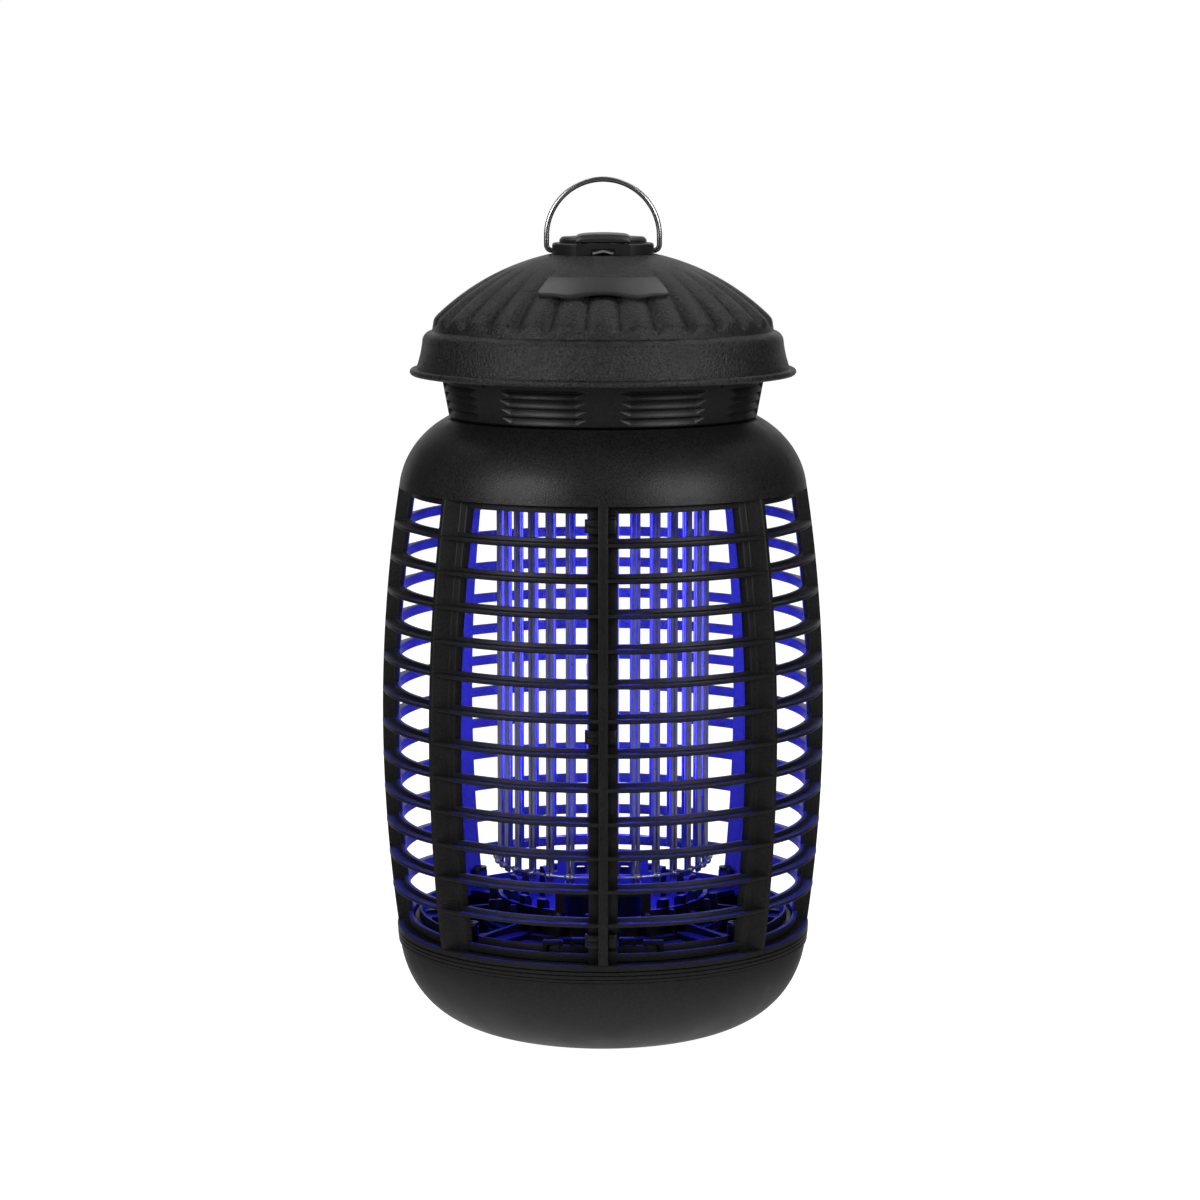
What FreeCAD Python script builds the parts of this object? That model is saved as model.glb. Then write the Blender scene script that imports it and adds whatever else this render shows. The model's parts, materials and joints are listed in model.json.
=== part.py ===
import FreeCAD, Part
import math
import os

# Hanging electric bug zapper lantern. Millimetres, +Z up, front towards -Y.
# The origin is the centre of the flat underside of the collection bowl.
# An azimuth is counted in degrees from the front, turning towards +X.

V = FreeCAD.Vector
Z_AXIS = V(0, 0, 1)

# ---------------------------------------------------------------- driving dimensions
# Barrel outline of the cage: one arc with its widest point at the belly
BELLY_RADIUS = 80.0
BELLY_Z = 113.3
BARREL_ARC = 549.0

# Cage mouldings
CAGE_BOTTOM = 39.0
CAGE_TOP = 197.7
COLUMN_BOTTOM = 38.65     # the columns stand on the foot and carry the shoulder
COLUMN_TOP = 197.95
WALL_OUT = 4.2            # depth of the wall's outer face below the barrel outline
WALL_IN = 6.0             # depth of the wall's inner face
TOP_RAIL = 2.5            # height of the rail under the shoulder
FOOT_RAIL = 2.9
HOOPS = 12
HOOP_TOP_Z = 185.0
HOOP_PITCH = 11.98
HOOP_HEIGHT = 3.5
FIN_THICK = 1.1
FIN_INSET = 0.1           # depth of the fin ends below the ribs of the columns
SLANT = 0.65606           # y of the slanted columns as a share of the barrel radius (49 degrees)
FLANGE_HALF = 2.7         # half width of a column's flange
RIB_HALF = 0.7            # half width of a column's outer rib
SIDE_FLANGE_HALF = 3.0
SEAM_FLANGE = 5.0         # flange half width of the two columns where the halves meet
SEAM_RIB = 1.7
SEAM_GAP = 0.05
HOOK_HALF = 2.45          # half height of a snap hook
HOOK_REACH = 6.3
HOOK_THICK = 1.75
HOOK_BARB = 0.8

# Foot: grooved ring and bowl
RING_TOP = 38.6
RING_BOTTOM = 32.4
RING_RADIUS = 75.1
GROOVES_Z = (33.5, 34.95, 36.4)
GROOVE_DEPTH = 0.5
BOWL_RIM_Z = 32.1
BOWL_WALL = 2.4
BOWL_HALF_WIDTH = 74.2    # superellipse that gives the bowl its outline
BOWL_DEPTH = 36.07
BOWL_CENTRE_Z = 35.27
BOWL_FOOT_RADIUS = 36.0
NECK_RADIUS = 71.6
NECK_TOP = 36.6
LUG_RADIUS = 73.3
LUG_Z = (34.6, 35.8)
LUG_ANGLE = 12.0
TWIST = 25.0              # turn that frees the bowl

# Floor insert inside the foot
FLOOR_Z = 38.65
FLOOR_THICK = 2.0
FLOOR_RADIUS = 68.6
FLOOR_WALL_RADIUS = 38.2
FLOOR_WALL = 1.6
FLOOR_WALL_TOP = 49.2
FLOOR_WINDOW_TOP = 56.6   # the wall is raised round a window at the front and back
FLOOR_WINDOW = (13.6, 47.0, 54.7)   # half width, bottom and top
POST_X = 46.3
POST_Y = 47.1
POST_RADIUS = 2.5
POST_TOP = 46.5

# Shoulder, collar and cap
SHOULDER_BOTTOM = 198.0
SHOULDER_WALL = 2.2
SHOULDER_ELLIPSE = (38.5, 195.07, 35.0, 31.95)   # centre r, centre z, half width, half height
SHOULDER_TOP_RADIUS = 56.3  # outer edge of the flat ring that faces the collar
COLLAR_BOTTOM = 222.9
COLLAR_TOP = 238.9
COLLAR_BOTTOM_RADIUS = 55.2
COLLAR_SLOPE = 0.185
COLLAR_WALL = 3.0
COLLAR_RIDGE_PITCH = 3.1
COLLAR_GROOVE_DEPTH = 1.2
PANELS = 8
PANEL_HALF_ANGLE = 7.0
DOME_SPHERE = 100.0
DOME_CENTRE_Z = 180.45
CAP_WALL = 2.4
CAP_BOTTOM = 238.0
FLUTES = 30
FLANGE_THICK = 1.8
NECK_WALL = (49.9, 51.9)  # inner and outer radius of the shoulder's neck
NECK_HEIGHT_Z = 228.0
HEAD_FLOOR_Z = 240.8
HEAD_FLOOR_THICK = 1.8
HEAD_SCREW_CIRCLE = 61.2
HEAD_SCREW_FIRST = 22.5
HEAD_SCREW_TIP = 249.2
DECK_SCREW_CIRCLE = 60.0
DECK_SCREW_FIRST = 45.0
DECK_BOSS_TOP = 217.2       # where the deck's screw bosses run into the shoulder wall
HUB_SCREW_X = 6.0

# Cord inlet at the back of the collar
CORD_Z = 230.0
CORD_BORE = 3.1
BUSH_RADIUS = 4.4
BUSH_START = 52.2
BUSH_FLANGE = 57.75

# Hub and bail
HUB_RADIUS = 18.2
HUB_TOP = 285.0
TIER_RADIUS = 15.6
TIER_TOP = 287.1
NOTCH_HALF = 9.6
STRAP_TOP = 288.4
BAIL_WIRE = 0.95
BAIL_HALF = 20.15
BAIL_PIVOT_Z = 282.2
BAIL_TOP = 307.45
PIVOT_CLEARANCE = 0.08

# Grid, deck and lamp
DECK_Z = 207.0
DECK_THICK = 2.5
DECK_RADIUS = 65.2
GRID_RADIUS = 37.6
GRID_WIRE = 0.6
GRID_PAIR = 1.2           # half spacing of the two legs of a hairpin
GRID_BOTTOM = 59.6
HAIRPINS = 30
LOWER_RING_Z = 61.8
RING_WIRE = 0.5
LAMP_TUBE = 5.8
LAMP_SPACING = 7.6
LAMP_BOTTOM = 66.0
LAMP_TOP = 192.0

# Driver board on its standoffs
BOARD_Z = 247.6
BOARD_THICK = 1.6
BOARD_HOLES = (28.0, 18.0)

SCREW_RADIUS = 1.4
SCREW_FIT = 0.06


# ---------------------------------------------------------------- helpers
def barrel_radius(z, depth=0.0):
    """Radius of the barrel outline at height z, or of a surface that far inside it."""
    arc = BARREL_ARC - depth
    return BELLY_RADIUS - BARREL_ARC + math.sqrt(arc * arc - (z - BELLY_Z) ** 2)


def polar(radius, azimuth, z):
    a = math.radians(azimuth)
    return V(radius * math.sin(a), -radius * math.cos(a), z)


def turned(shape, azimuth):
    copy = shape.copy()
    copy.rotate(V(0, 0, 0), Z_AXIS, azimuth)
    return copy


def moved(shape, vector):
    copy = shape.copy()
    copy.translate(vector)
    return copy


def line(a, b):
    return Part.LineSegment(V(a[0], 0, a[1]), V(b[0], 0, b[1])).toShape()


def arc(a, middle, b):
    return Part.Arc(V(a[0], 0, a[1]), V(middle[0], 0, middle[1]), V(b[0], 0, b[1])).toShape()


def spline(points):
    curve = Part.BSplineCurve()
    curve.interpolate([V(r, 0, z) for r, z in points])
    return curve.toShape()


def spin_edges(edges, angle=360.0):
    face = Part.Face(Part.Wire(edges))
    return face.revolve(V(0, 0, 0), Z_AXIS, angle)


def spin(points, angle=360.0):
    """Solid of revolution of a closed (r, z) outline."""
    corners = [V(r, 0, z) for r, z in points]
    face = Part.Face(Part.makePolygon(corners + corners[:1]))
    return face.revolve(V(0, 0, 0), Z_AXIS, angle)


def sector(points, azimuth, half_angle):
    """The same outline spun only across one sector, centred on an azimuth."""
    return turned(spin(points, 2 * half_angle), azimuth - 90.0 - half_angle)


def tube(r_in, r_out, z0, z1):
    return spin([(r_in, z0), (r_out, z0), (r_out, z1), (r_in, z1)])


def box(x0, x1, y0, y1, z0, z1):
    return Part.makeBox(x1 - x0, y1 - y0, z1 - z0, V(x0, y0, z0))


def cylinder(radius, base, length, direction=Z_AXIS):
    return Part.makeCylinder(radius, length, base, direction)


def wire_ring(radius, wire, z):
    return Part.makeTorus(radius, wire, V(0, 0, z), Z_AXIS)


def union(shapes):
    return shapes[0].multiFuse(shapes[1:]).removeSplitter()


def barrel_band(depth_out, depth_in, z0, z1):
    """Ring between two surfaces concentric with the barrel outline."""
    zm = (z0 + z1) / 2
    outer = [(barrel_radius(z, depth_out), z) for z in (z0, zm, z1)]
    inner = [(barrel_radius(z, depth_in), z) for z in (z0, zm, z1)]
    return spin_edges([
        arc(*outer),
        line(outer[2], inner[2]),
        arc(inner[2], inner[1], inner[0]),
        line(inner[0], outer[0]),
    ])


def screw(tip, head_side, length, head_radius=2.7, head_height=1.7):
    """Pan-head screw with a cross recess. head_side is +1 with the head on top, -1 below."""
    up = V(0, 0, head_side)
    seat = tip + up * length
    shank = cylinder(SCREW_RADIUS, tip, length, up)
    head = cylinder(head_radius, seat, head_height, up)
    top = seat.z + head_side * head_height
    z0, z1 = sorted((top, top - head_side * 0.9))
    slot_x = box(tip.x - 1.6, tip.x + 1.6, tip.y - 0.35, tip.y + 0.35, z0, z1)
    slot_y = box(tip.x - 0.35, tip.x + 0.35, tip.y - 1.6, tip.y + 1.6, z0, z1)
    return union([shank, head]).cut(slot_x.fuse(slot_y))


def screw_hole(tip, head_side, length):
    return cylinder(SCREW_RADIUS + SCREW_FIT, tip, length, V(0, 0, head_side))


def export(name, solids):
    """Write one node. A list of solids is one group."""
    group = solids if isinstance(solids, list) else [solids]
    shape = group[0] if len(group) == 1 else Part.makeCompound(group)
    if not shape.isValid() or not shape.Solids:
        raise RuntimeError(name + " is not a valid solid")
    shape.exportStep("parts/" + name + ".step")
    print(name, len(shape.Solids), "solids", round(shape.Volume), "mm3")


# ---------------------------------------------------------------- cage halves
def hoop_heights():
    return [HOOP_TOP_Z - k * HOOP_PITCH for k in range(HOOPS)]


def hook_heights():
    """The snap hooks sit in the first, middle and last openings."""
    z = hoop_heights()
    top = (CAGE_TOP - TOP_RAIL + z[0] + HOOP_HEIGHT / 2) / 2
    middle = (z[5] + z[6]) / 2
    foot = (CAGE_BOTTOM + FOOT_RAIL + z[-1] - HOOP_HEIGHT / 2) / 2
    return [top, middle, foot]


def hoop_ring(z):
    """One hoop: a low wall with a thin fin standing out from its middle."""
    r_in, r_wall, r_out = (barrel_radius(z, d) for d in (WALL_IN, WALL_OUT, 0.0))
    h, t = HOOP_HEIGHT / 2, FIN_THICK / 2
    return spin([
        (r_in, z - h), (r_wall, z - h), (r_wall, z - t), (r_out, z - t),
        (r_out, z + t), (r_wall, z + t), (r_wall, z + h), (r_in, z + h),
    ])


def fin_ring(z):
    return barrel_band(FIN_INSET, WALL_OUT + 0.5, z - FIN_THICK / 2, z + FIN_THICK / 2)


def slanted_slab(half, y_sign):
    """Slab parallel to X that follows the azimuth of a slanted column up the barrel."""
    z0, z1 = COLUMN_BOTTOM - 1, COLUMN_TOP + 1
    heights = (z0, (z0 + z1) / 2, z1)
    near = [V(20, y_sign * (SLANT * barrel_radius(z) - half), z) for z in heights]
    away = [V(20, y_sign * (SLANT * barrel_radius(z) + half), z) for z in heights]
    edges = [
        Part.Arc(*near).toShape(),
        Part.LineSegment(near[2], away[2]).toShape(),
        Part.Arc(away[2], away[1], away[0]).toShape(),
        Part.LineSegment(away[0], near[0]).toShape(),
    ]
    return Part.Face(Part.Wire(edges)).extrude(V(70, 0, 0))


def span_window(x_start, y_sign, near, away, z0, z1):
    """Prism parallel to X. Each side lies at y = share of the barrel radius + offset."""
    corners = []
    for (share, offset), z in ((near, z0), (away, z0), (away, z1), (near, z1)):
        corners.append(V(x_start, y_sign * (share * barrel_radius(z) + offset), z))
    face = Part.Face(Part.makePolygon(corners + corners[:1]))
    return face.extrude(V(BELLY_RADIUS + 5 - x_start, 0, 0))


def spans(ring):
    """The four lengths of a ring between the columns of the right half."""
    far = BELLY_RADIUS + 5
    z0, z1 = ring.BoundBox.ZMin - 0.5, ring.BoundBox.ZMax + 0.5
    solids = []
    for s in (-1, 1):
        by_seam = span_window(SEAM_FLANGE, s, (SLANT, FLANGE_HALF), (0, far), z0, z1)
        by_side = span_window(20, s, (0, SIDE_FLANGE_HALF), (SLANT, -FLANGE_HALF), z0, z1)
        solids += ring.common(by_seam).Solids + ring.common(by_side).Solids
    if len(solids) != 4:
        raise RuntimeError("the ring at %.1f has %d spans" % (z0, len(solids)))
    return solids


def column(flange_slab, rib_slab):
    wall = barrel_band(WALL_OUT, WALL_IN, COLUMN_BOTTOM, COLUMN_TOP)
    full = barrel_band(0.0, WALL_IN, COLUMN_BOTTOM, COLUMN_TOP)
    pieces = [wall.common(flange_slab), full.common(rib_slab)]
    pieces += [fin_ring(z).common(flange_slab) for z in hoop_heights()]
    return union(pieces)


def seam_hooks():
    """Hooks of the front seam column that grip the other half's flange."""
    far = BELLY_RADIUS + 5
    face = WALL_OUT - SEAM_GAP
    back = WALL_IN + SEAM_GAP
    hooks = []
    for z in hook_heights():
        z0, z1 = z - HOOK_HALF, z + HOOK_HALF
        for outside, inside, x_end in ((face - HOOK_THICK, face, -SEAM_RIB + 0.5),
                                       (face - 0.5, back + HOOK_BARB, -SEAM_FLANGE - SEAM_GAP),
                                       (back, back + HOOK_BARB, -SEAM_FLANGE + HOOK_BARB)):
            band = barrel_band(outside, inside, z0, z1)
            hooks.append(band.common(box(-HOOK_REACH, x_end, -far, -20, z0, z1)))
    return hooks


def mirrored(shape):
    """The same shape at the back in place of the front."""
    return shape.mirror(V(0, 0, 0), V(0, 1, 0))


def seam_column():
    """Front seam column of the right half: rib, flange and hooks."""
    far = BELLY_RADIUS + 5
    z0, z1 = COLUMN_BOTTOM - 1, COLUMN_TOP + 1
    body = column(box(-SEAM_RIB, SEAM_FLANGE, -far, -20, z0, z1),
                  box(-SEAM_RIB, SEAM_RIB, -far, -20, z0, z1))
    return union([body] + seam_hooks())


def seam_flange():
    """Front flange of the left half, gripped by the right half's hooks."""
    far = BELLY_RADIUS + 5
    slab = box(-SEAM_FLANGE, -SEAM_RIB - SEAM_GAP, -far, -20, COLUMN_BOTTOM - 1, COLUMN_TOP + 1)
    pieces = [barrel_band(WALL_OUT, WALL_IN, COLUMN_BOTTOM, COLUMN_TOP).common(slab)]
    pieces += [fin_ring(z).common(slab) for z in hoop_heights()]
    return union(pieces)


def side_columns():
    """The columns of the right half that aren't at the seams."""
    far = BELLY_RADIUS + 5
    z0, z1 = COLUMN_BOTTOM - 1, COLUMN_TOP + 1
    side = column(box(20, far, -SIDE_FLANGE_HALF, SIDE_FLANGE_HALF, z0, z1),
                  box(20, far, -RIB_HALF, RIB_HALF, z0, z1))
    slanted = [column(slanted_slab(FLANGE_HALF, s), slanted_slab(RIB_HALF, s)) for s in (-1, 1)]
    return [side] + slanted


def right_half_hoops():
    solids = []
    for z in hoop_heights():
        solids += spans(hoop_ring(z))
    for z0, z1 in ((CAGE_TOP - TOP_RAIL, CAGE_TOP), (CAGE_BOTTOM, CAGE_BOTTOM + FOOT_RAIL)):
        solids += spans(barrel_band(WALL_OUT, WALL_IN, z0, z1))
    return solids


# ---------------------------------------------------------------- foot
def bowl_outline(wall, z_top, count=9):
    """Superellipse from the rim down to the flat foot, a wall thickness inside."""
    half, depth = BOWL_HALF_WIDTH - wall, BOWL_DEPTH - wall
    points = []
    start = math.asin(((BOWL_CENTRE_Z - z_top) / depth) ** (1 / 1.0834))
    end = math.acos(((BOWL_FOOT_RADIUS - wall) / half) ** (1 / 0.454))
    for i in range(count):
        t = start + (end - start) * i / (count - 1)
        points.append((half * math.cos(t) ** 0.454, BOWL_CENTRE_Z - depth * math.sin(t) ** 1.0834))
    return points


def collection_bowl():
    outer = bowl_outline(0.0, BOWL_RIM_Z)
    inner = bowl_outline(BOWL_WALL, BOWL_RIM_Z - 2.0)
    outer[-1] = (outer[-1][0], 0.0)
    neck_in = NECK_RADIUS - 2.0
    edges = [
        spline(outer),
        line(outer[-1], (0, 0)),
        line((0, 0), (0, inner[-1][1])),
        line((0, inner[-1][1]), inner[-1]),
        spline(inner[::-1]),
        line(inner[0], (neck_in, BOWL_RIM_Z)),
        line((neck_in, BOWL_RIM_Z), (neck_in, NECK_TOP)),
        line((neck_in, NECK_TOP), (NECK_RADIUS, NECK_TOP)),
        line((NECK_RADIUS, NECK_TOP), (NECK_RADIUS, BOWL_RIM_Z)),
        line((NECK_RADIUS, BOWL_RIM_Z), outer[0]),
    ]
    body = spin_edges(edges)
    lug = [(NECK_RADIUS - 0.5, LUG_Z[0]), (LUG_RADIUS, LUG_Z[0]), (LUG_RADIUS, LUG_Z[1]),
           (NECK_RADIUS - 0.5, LUG_Z[1])]
    lugs = [sector(lug, 45 + 90 * k, LUG_ANGLE / 2) for k in range(4)]
    return union([body] + lugs)


def base_ring():
    """Grooved band with the bayonet track for the bowl's lugs on its inside."""
    lip = 72.1
    track = LUG_RADIUS + 0.35
    z0, z1 = LUG_Z[0] - 0.35, LUG_Z[1] + 0.35
    section = [
        (lip, RING_BOTTOM), (RING_RADIUS - 0.5, RING_BOTTOM), (RING_RADIUS - 0.15, 35.5),
        (RING_RADIUS, RING_TOP - 0.4), (RING_RADIUS - 0.4, RING_TOP), (66.0, RING_TOP),
        (66.0, RING_TOP - 1.4), (lip, RING_TOP - 1.4), (lip, z1), (track, z1), (track, z0), (lip, z0),
    ]
    ring = spin(section)
    cuts = []
    for z in GROOVES_Z:
        r = RING_RADIUS + 0.3
        cuts.append(spin([(r, z - 0.45), (r, z + 0.45), (RING_RADIUS - 0.25 - GROOVE_DEPTH, z)]))
    entry = [(lip - 0.5, RING_BOTTOM - 1), (track, RING_BOTTOM - 1), (track, z1), (lip - 0.5, z1)]
    cuts += [sector(entry, 45 + TWIST + 90 * k, LUG_ANGLE / 2 + 1.5) for k in range(4)]
    return ring.cut(Part.makeCompound(cuts))


def floor_post(x, y):
    return cylinder(POST_RADIUS, V(x, y, FLOOR_Z), POST_TOP - FLOOR_Z)


def post_places():
    return [(sx * POST_X, sy * POST_Y) for sx in (-1, 1) for sy in (-1, 1)]


def floor_insert():
    """Floor of the cage: round wall under the grid, drop openings round it, posts and tabs."""
    top = FLOOR_Z + FLOOR_THICK
    disc = cylinder(FLOOR_RADIUS, V(0, 0, FLOOR_Z), FLOOR_THICK)
    opening = [(44, FLOOR_Z - 1), (63, FLOOR_Z - 1), (63, top + 1), (44, top + 1)]
    openings = [sector(opening, 22.5 + 45 * k, 15.5) for k in range(8)]
    centre = cylinder(12.0, V(0, 0, FLOOR_Z - 1), FLOOR_THICK + 2)
    floor = disc.cut(Part.makeCompound(openings + [centre]))
    r = FLOOR_WALL_RADIUS
    pieces = [floor, tube(r - FLOOR_WALL, r, top - 0.1, FLOOR_WALL_TOP)]
    raised = tube(r - FLOOR_WALL, r, FLOOR_WALL_TOP - 0.2, FLOOR_WINDOW_TOP)
    pieces.append(raised.common(box(-17, 17, -r - 1, r + 1, 48, 57)))
    for k in range(24):
        azimuth = 7.5 + 15 * k
        if min(azimuth % 180, 180 - azimuth % 180) < 30:
            continue
        pieces.append(sector([(33.5, top - 0.1), (r - 1.5, top - 0.1), (r - 1.5, 52.0), (34.6, 52.0),
                              (33.5, 50.6)], azimuth, 2.6))
    for x, y in post_places():
        pieces.append(floor_post(x, y))
    for k in range(8):
        azimuth = 45 * k
        pieces.append(sector([(r - 0.1, top - 0.1), (FLOOR_RADIUS - 4, top - 0.1),
                              (FLOOR_RADIUS - 4, top + 1.0), (r - 0.1, top + 3.5)], azimuth, 1.0))
    lamp_cup = tube(12.0, 14.0, FLOOR_Z, 52.0).cut(box(-4.5, 4.5, -20, 20, 46, 53))
    pieces.append(lamp_cup)
    body = union(pieces)
    half, z0, z1 = FLOOR_WINDOW
    windows = box(-half, half, -r - 1, -r + 8, z0, z1)
    windows = windows.fuse(box(-half, half, r - 8, r + 1, z0, z1))
    holes = [screw_hole(V(x, y, FLOOR_Z - 1), 1, 20) for x, y in post_places()]
    return body.cut(Part.makeCompound([windows] + holes))


def floor_screws():
    return [screw(V(x, y, FLOOR_Z + 0.2), 1, POST_TOP - FLOOR_Z, 2.3, 1.3) for x, y in post_places()]


# ---------------------------------------------------------------- shoulder, collar, cap
def shoulder_arc(r0, r1, inset, count=7):
    """Elliptical flank between two radii, spaced evenly in the ellipse's own angle."""
    cr, cz, a, b = SHOULDER_ELLIPSE
    a, b = a - inset, b - inset
    t0, t1 = (math.acos((r - cr) / a) for r in (r0, r1))
    steps = [t0 + (t1 - t0) * i / (count - 1) for i in range(count)]
    return [(cr + a * math.cos(t), cz + b * math.sin(t)) for t in steps]


def screw_places(radius, first):
    return [polar(radius, first + 90.0 * k, 0) for k in range(4)]


def deck_screw_places():
    return screw_places(DECK_SCREW_CIRCLE, DECK_SCREW_FIRST)


def head_screw_places():
    return screw_places(HEAD_SCREW_CIRCLE, HEAD_SCREW_FIRST)


def lifted(point, z):
    return V(point.x, point.y, z)


def shoulder():
    rim = SHOULDER_ELLIPSE[0] + SHOULDER_ELLIPSE[2] * math.cos(math.asin(
        (SHOULDER_BOTTOM - SHOULDER_ELLIPSE[1]) / SHOULDER_ELLIPSE[3]))
    outer = shoulder_arc(SHOULDER_TOP_RADIUS, rim - 0.001, 0.0)
    outer[-1] = (outer[-1][0], SHOULDER_BOTTOM)
    inner = shoulder_arc(SHOULDER_TOP_RADIUS - 0.5, rim - SHOULDER_WALL, SHOULDER_WALL)
    inner[-1] = (inner[-1][0], SHOULDER_BOTTOM)
    neck_in, neck_out = NECK_WALL
    edges = [
        spline(outer),
        line(outer[-1], inner[-1]),
        spline(inner[::-1]),
        line(inner[0], (neck_in, inner[0][1])),
        line((neck_in, inner[0][1]), (neck_in, NECK_HEIGHT_Z)),
        line((neck_in, NECK_HEIGHT_Z), (neck_out, NECK_HEIGHT_Z)),
        line((neck_out, NECK_HEIGHT_Z), (neck_out, outer[0][1])),
        line((neck_out, outer[0][1]), outer[0]),
    ]
    body = spin_edges(edges)
    z0 = DECK_Z + DECK_THICK
    bosses = [cylinder(3.2, lifted(p, z0), DECK_BOSS_TOP - z0) for p in deck_screw_places()]
    holes = [screw_hole(lifted(p, DECK_Z - 1), 1, 7.5) for p in deck_screw_places()]
    holes.append(cylinder(CORD_BORE + 0.5, V(0, 45, CORD_Z), 10, V(0, 1, 0)))
    return union([body] + bosses).cut(Part.makeCompound(holes))


def collar_radius(z):
    return COLLAR_BOTTOM_RADIUS + COLLAR_SLOPE * (z - COLLAR_BOTTOM)


def collar():
    """Tapered collar: ridged between plain panels, with a flange that closes the cap."""
    top, bottom = COLLAR_TOP, COLLAR_BOTTOM
    section = [
        (collar_radius(bottom) - 0.5, bottom), (collar_radius(bottom), bottom + 0.5),
        (collar_radius(top), top), (63.7, top), (63.7, top + FLANGE_THICK), (52.4, top + FLANGE_THICK),
        (52.4, bottom),
    ]
    body = spin(section)
    grooves = []
    ridge = bottom + 0.7
    while ridge + COLLAR_RIDGE_PITCH < top:
        z0, z1 = ridge, ridge + COLLAR_RIDGE_PITCH
        out = 0.3
        section = [
            (collar_radius(z0) + out, z0 - out / 2), (collar_radius(z1) + out, z1 + out / 2),
            (collar_radius(z1), z1 - 0.15),
            (collar_radius((z0 + z1) / 2) - COLLAR_GROOVE_DEPTH, (z0 + z1) / 2),
            (collar_radius(z0), z0 + 0.15),
        ]
        half = 180.0 / PANELS - PANEL_HALF_ANGLE
        grooves += [sector(section, 360.0 / PANELS * (k + 0.5), half) for k in range(PANELS)]
        ridge += COLLAR_RIDGE_PITCH
    body = body.cut(Part.makeCompound(grooves))
    inlet = cylinder(BUSH_RADIUS + 0.1, V(0, 45, CORD_Z), 20, V(0, 1, 0))
    holes = [screw_hole(lifted(p, top - 1), 1, 4) for p in head_screw_places()]
    return body.cut(Part.makeCompound([inlet] + holes))


def cord_inlet():
    """Bush that carries the mains cord through the back of the collar."""
    along = V(0, 1, 0)
    flange_end = BUSH_FLANGE + 1.6
    body = cylinder(BUSH_RADIUS, V(0, BUSH_START, CORD_Z), flange_end - BUSH_START, along)
    flange = cylinder(5.6, V(0, BUSH_FLANGE, CORD_Z), 1.6, along)
    nose = Part.makeCone(BUSH_RADIUS, 3.9, 1.5, V(0, flange_end, CORD_Z), along)
    return union([body, flange, nose]).cut(cylinder(CORD_BORE, V(0, 40, CORD_Z), 40, along))


def dome_z(r, inset=0.0):
    sphere = DOME_SPHERE - inset
    return DOME_CENTRE_Z + math.sqrt(sphere * sphere - r * r)


def flute_cutter():
    """Round-bottomed valley that deepens from the dome's middle to its edge, at azimuth 90."""
    start_r, path_radius, groove = 33.0, 78.9, 2.8
    nx = start_r / DOME_SPHERE
    nz = math.sqrt(1 - nx * nx)
    start = V(start_r, 0, dome_z(start_r))
    normal = V(nx, 0, nz)
    centre = start - normal * path_radius
    middle = start + normal * groove
    tangent = V(nz, 0, -nx)
    circle = Part.Face(Part.Wire(Part.makeCircle(groove, middle, tangent)))
    return circle.revolve(centre, V(0, 1, 0), 27.0)


def dome_cap():
    outer = [
        line((64.2, CAP_BOTTOM), (68.1, CAP_BOTTOM)),
        arc((68.1, CAP_BOTTOM), (69.3, CAP_BOTTOM + 1.2), (68.1, CAP_BOTTOM + 2.4)),
        line((68.1, CAP_BOTTOM + 2.4), (66.8, CAP_BOTTOM + 2.4)),
        arc((66.8, CAP_BOTTOM + 2.4), (65.45, 245.6), (64.7, 250.2)),
        arc((64.7, 250.2), (63.9, 252.3), (62.3, 253.5)),
        line((62.3, 253.5), (61.2, 253.9)),
        line((61.2, 253.9), (60.9, 257.2)),
        arc((60.9, 257.2), (59.7, 259.9), (57.0, dome_z(57.0))),
        arc((57.0, dome_z(57.0)), (30.0, dome_z(30.0)), (0.0, dome_z(0.0))),
    ]
    w = CAP_WALL
    inner = [
        line((0.0, dome_z(0.0)), (0.0, dome_z(0.0, w))),
        arc((0.0, dome_z(0.0, w)), (28.0, dome_z(28.0, w)), (54.5, dome_z(54.5, w))),
        line((54.5, dome_z(54.5, w)), (58.4, 256.6)),
        line((58.4, 256.6), (58.8, 253.0)),
        line((58.8, 253.0), (62.3, 249.6)),
        line((62.3, 249.6), (64.2, 242.0)),
        line((64.2, 242.0), (64.2, CAP_BOTTOM)),
    ]
    body = spin_edges(outer + inner)
    valley = flute_cutter()
    pitch = 360.0 / FLUTES
    valleys = [turned(valley, pitch * (k + 0.5)) for k in range(FLUTES)]
    body = body.cut(Part.makeCompound(valleys))
    boss_z = HEAD_FLOOR_Z + HEAD_FLOOR_THICK + 0.05
    bosses = [cylinder(3.0, lifted(p, boss_z), 250.2 - boss_z) for p in head_screw_places()]
    body = union([body] + bosses)
    holes = [screw_hole(lifted(p, 240), 1, HEAD_SCREW_TIP + 0.2 - 240) for p in head_screw_places()]
    holes += [screw_hole(V(x, 0, 270), 1, 15) for x in (-HUB_SCREW_X, HUB_SCREW_X)]
    return body.cut(Part.makeCompound(holes))


def badge_plate():
    """Blank trapezoid plate that follows the dome, above the flutes at the front."""
    rise = 1.1
    lens = Part.makeSphere(DOME_SPHERE + rise, V(0, 0, DOME_CENTRE_Z))
    lens = lens.cut(Part.makeSphere(DOME_SPHERE + 0.02, V(0, 0, DOME_CENTRE_Z)))
    corners = [V(-18.2, -28.0, 0), V(18.2, -28.0, 0), V(19.4, -29.2, 0), V(23.2, -39.2, 0),
               V(22.2, -40.6, 0), V(9.5, -43.6, 0), V(-9.5, -43.6, 0), V(-22.2, -40.6, 0),
               V(-23.2, -39.2, 0), V(-19.4, -29.2, 0)]
    outline = Part.Face(Part.makePolygon(corners + corners[:1])).extrude(V(0, 0, 60))
    plate = lens.common(moved(outline, V(0, 0, 240)))
    return plate


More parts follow.
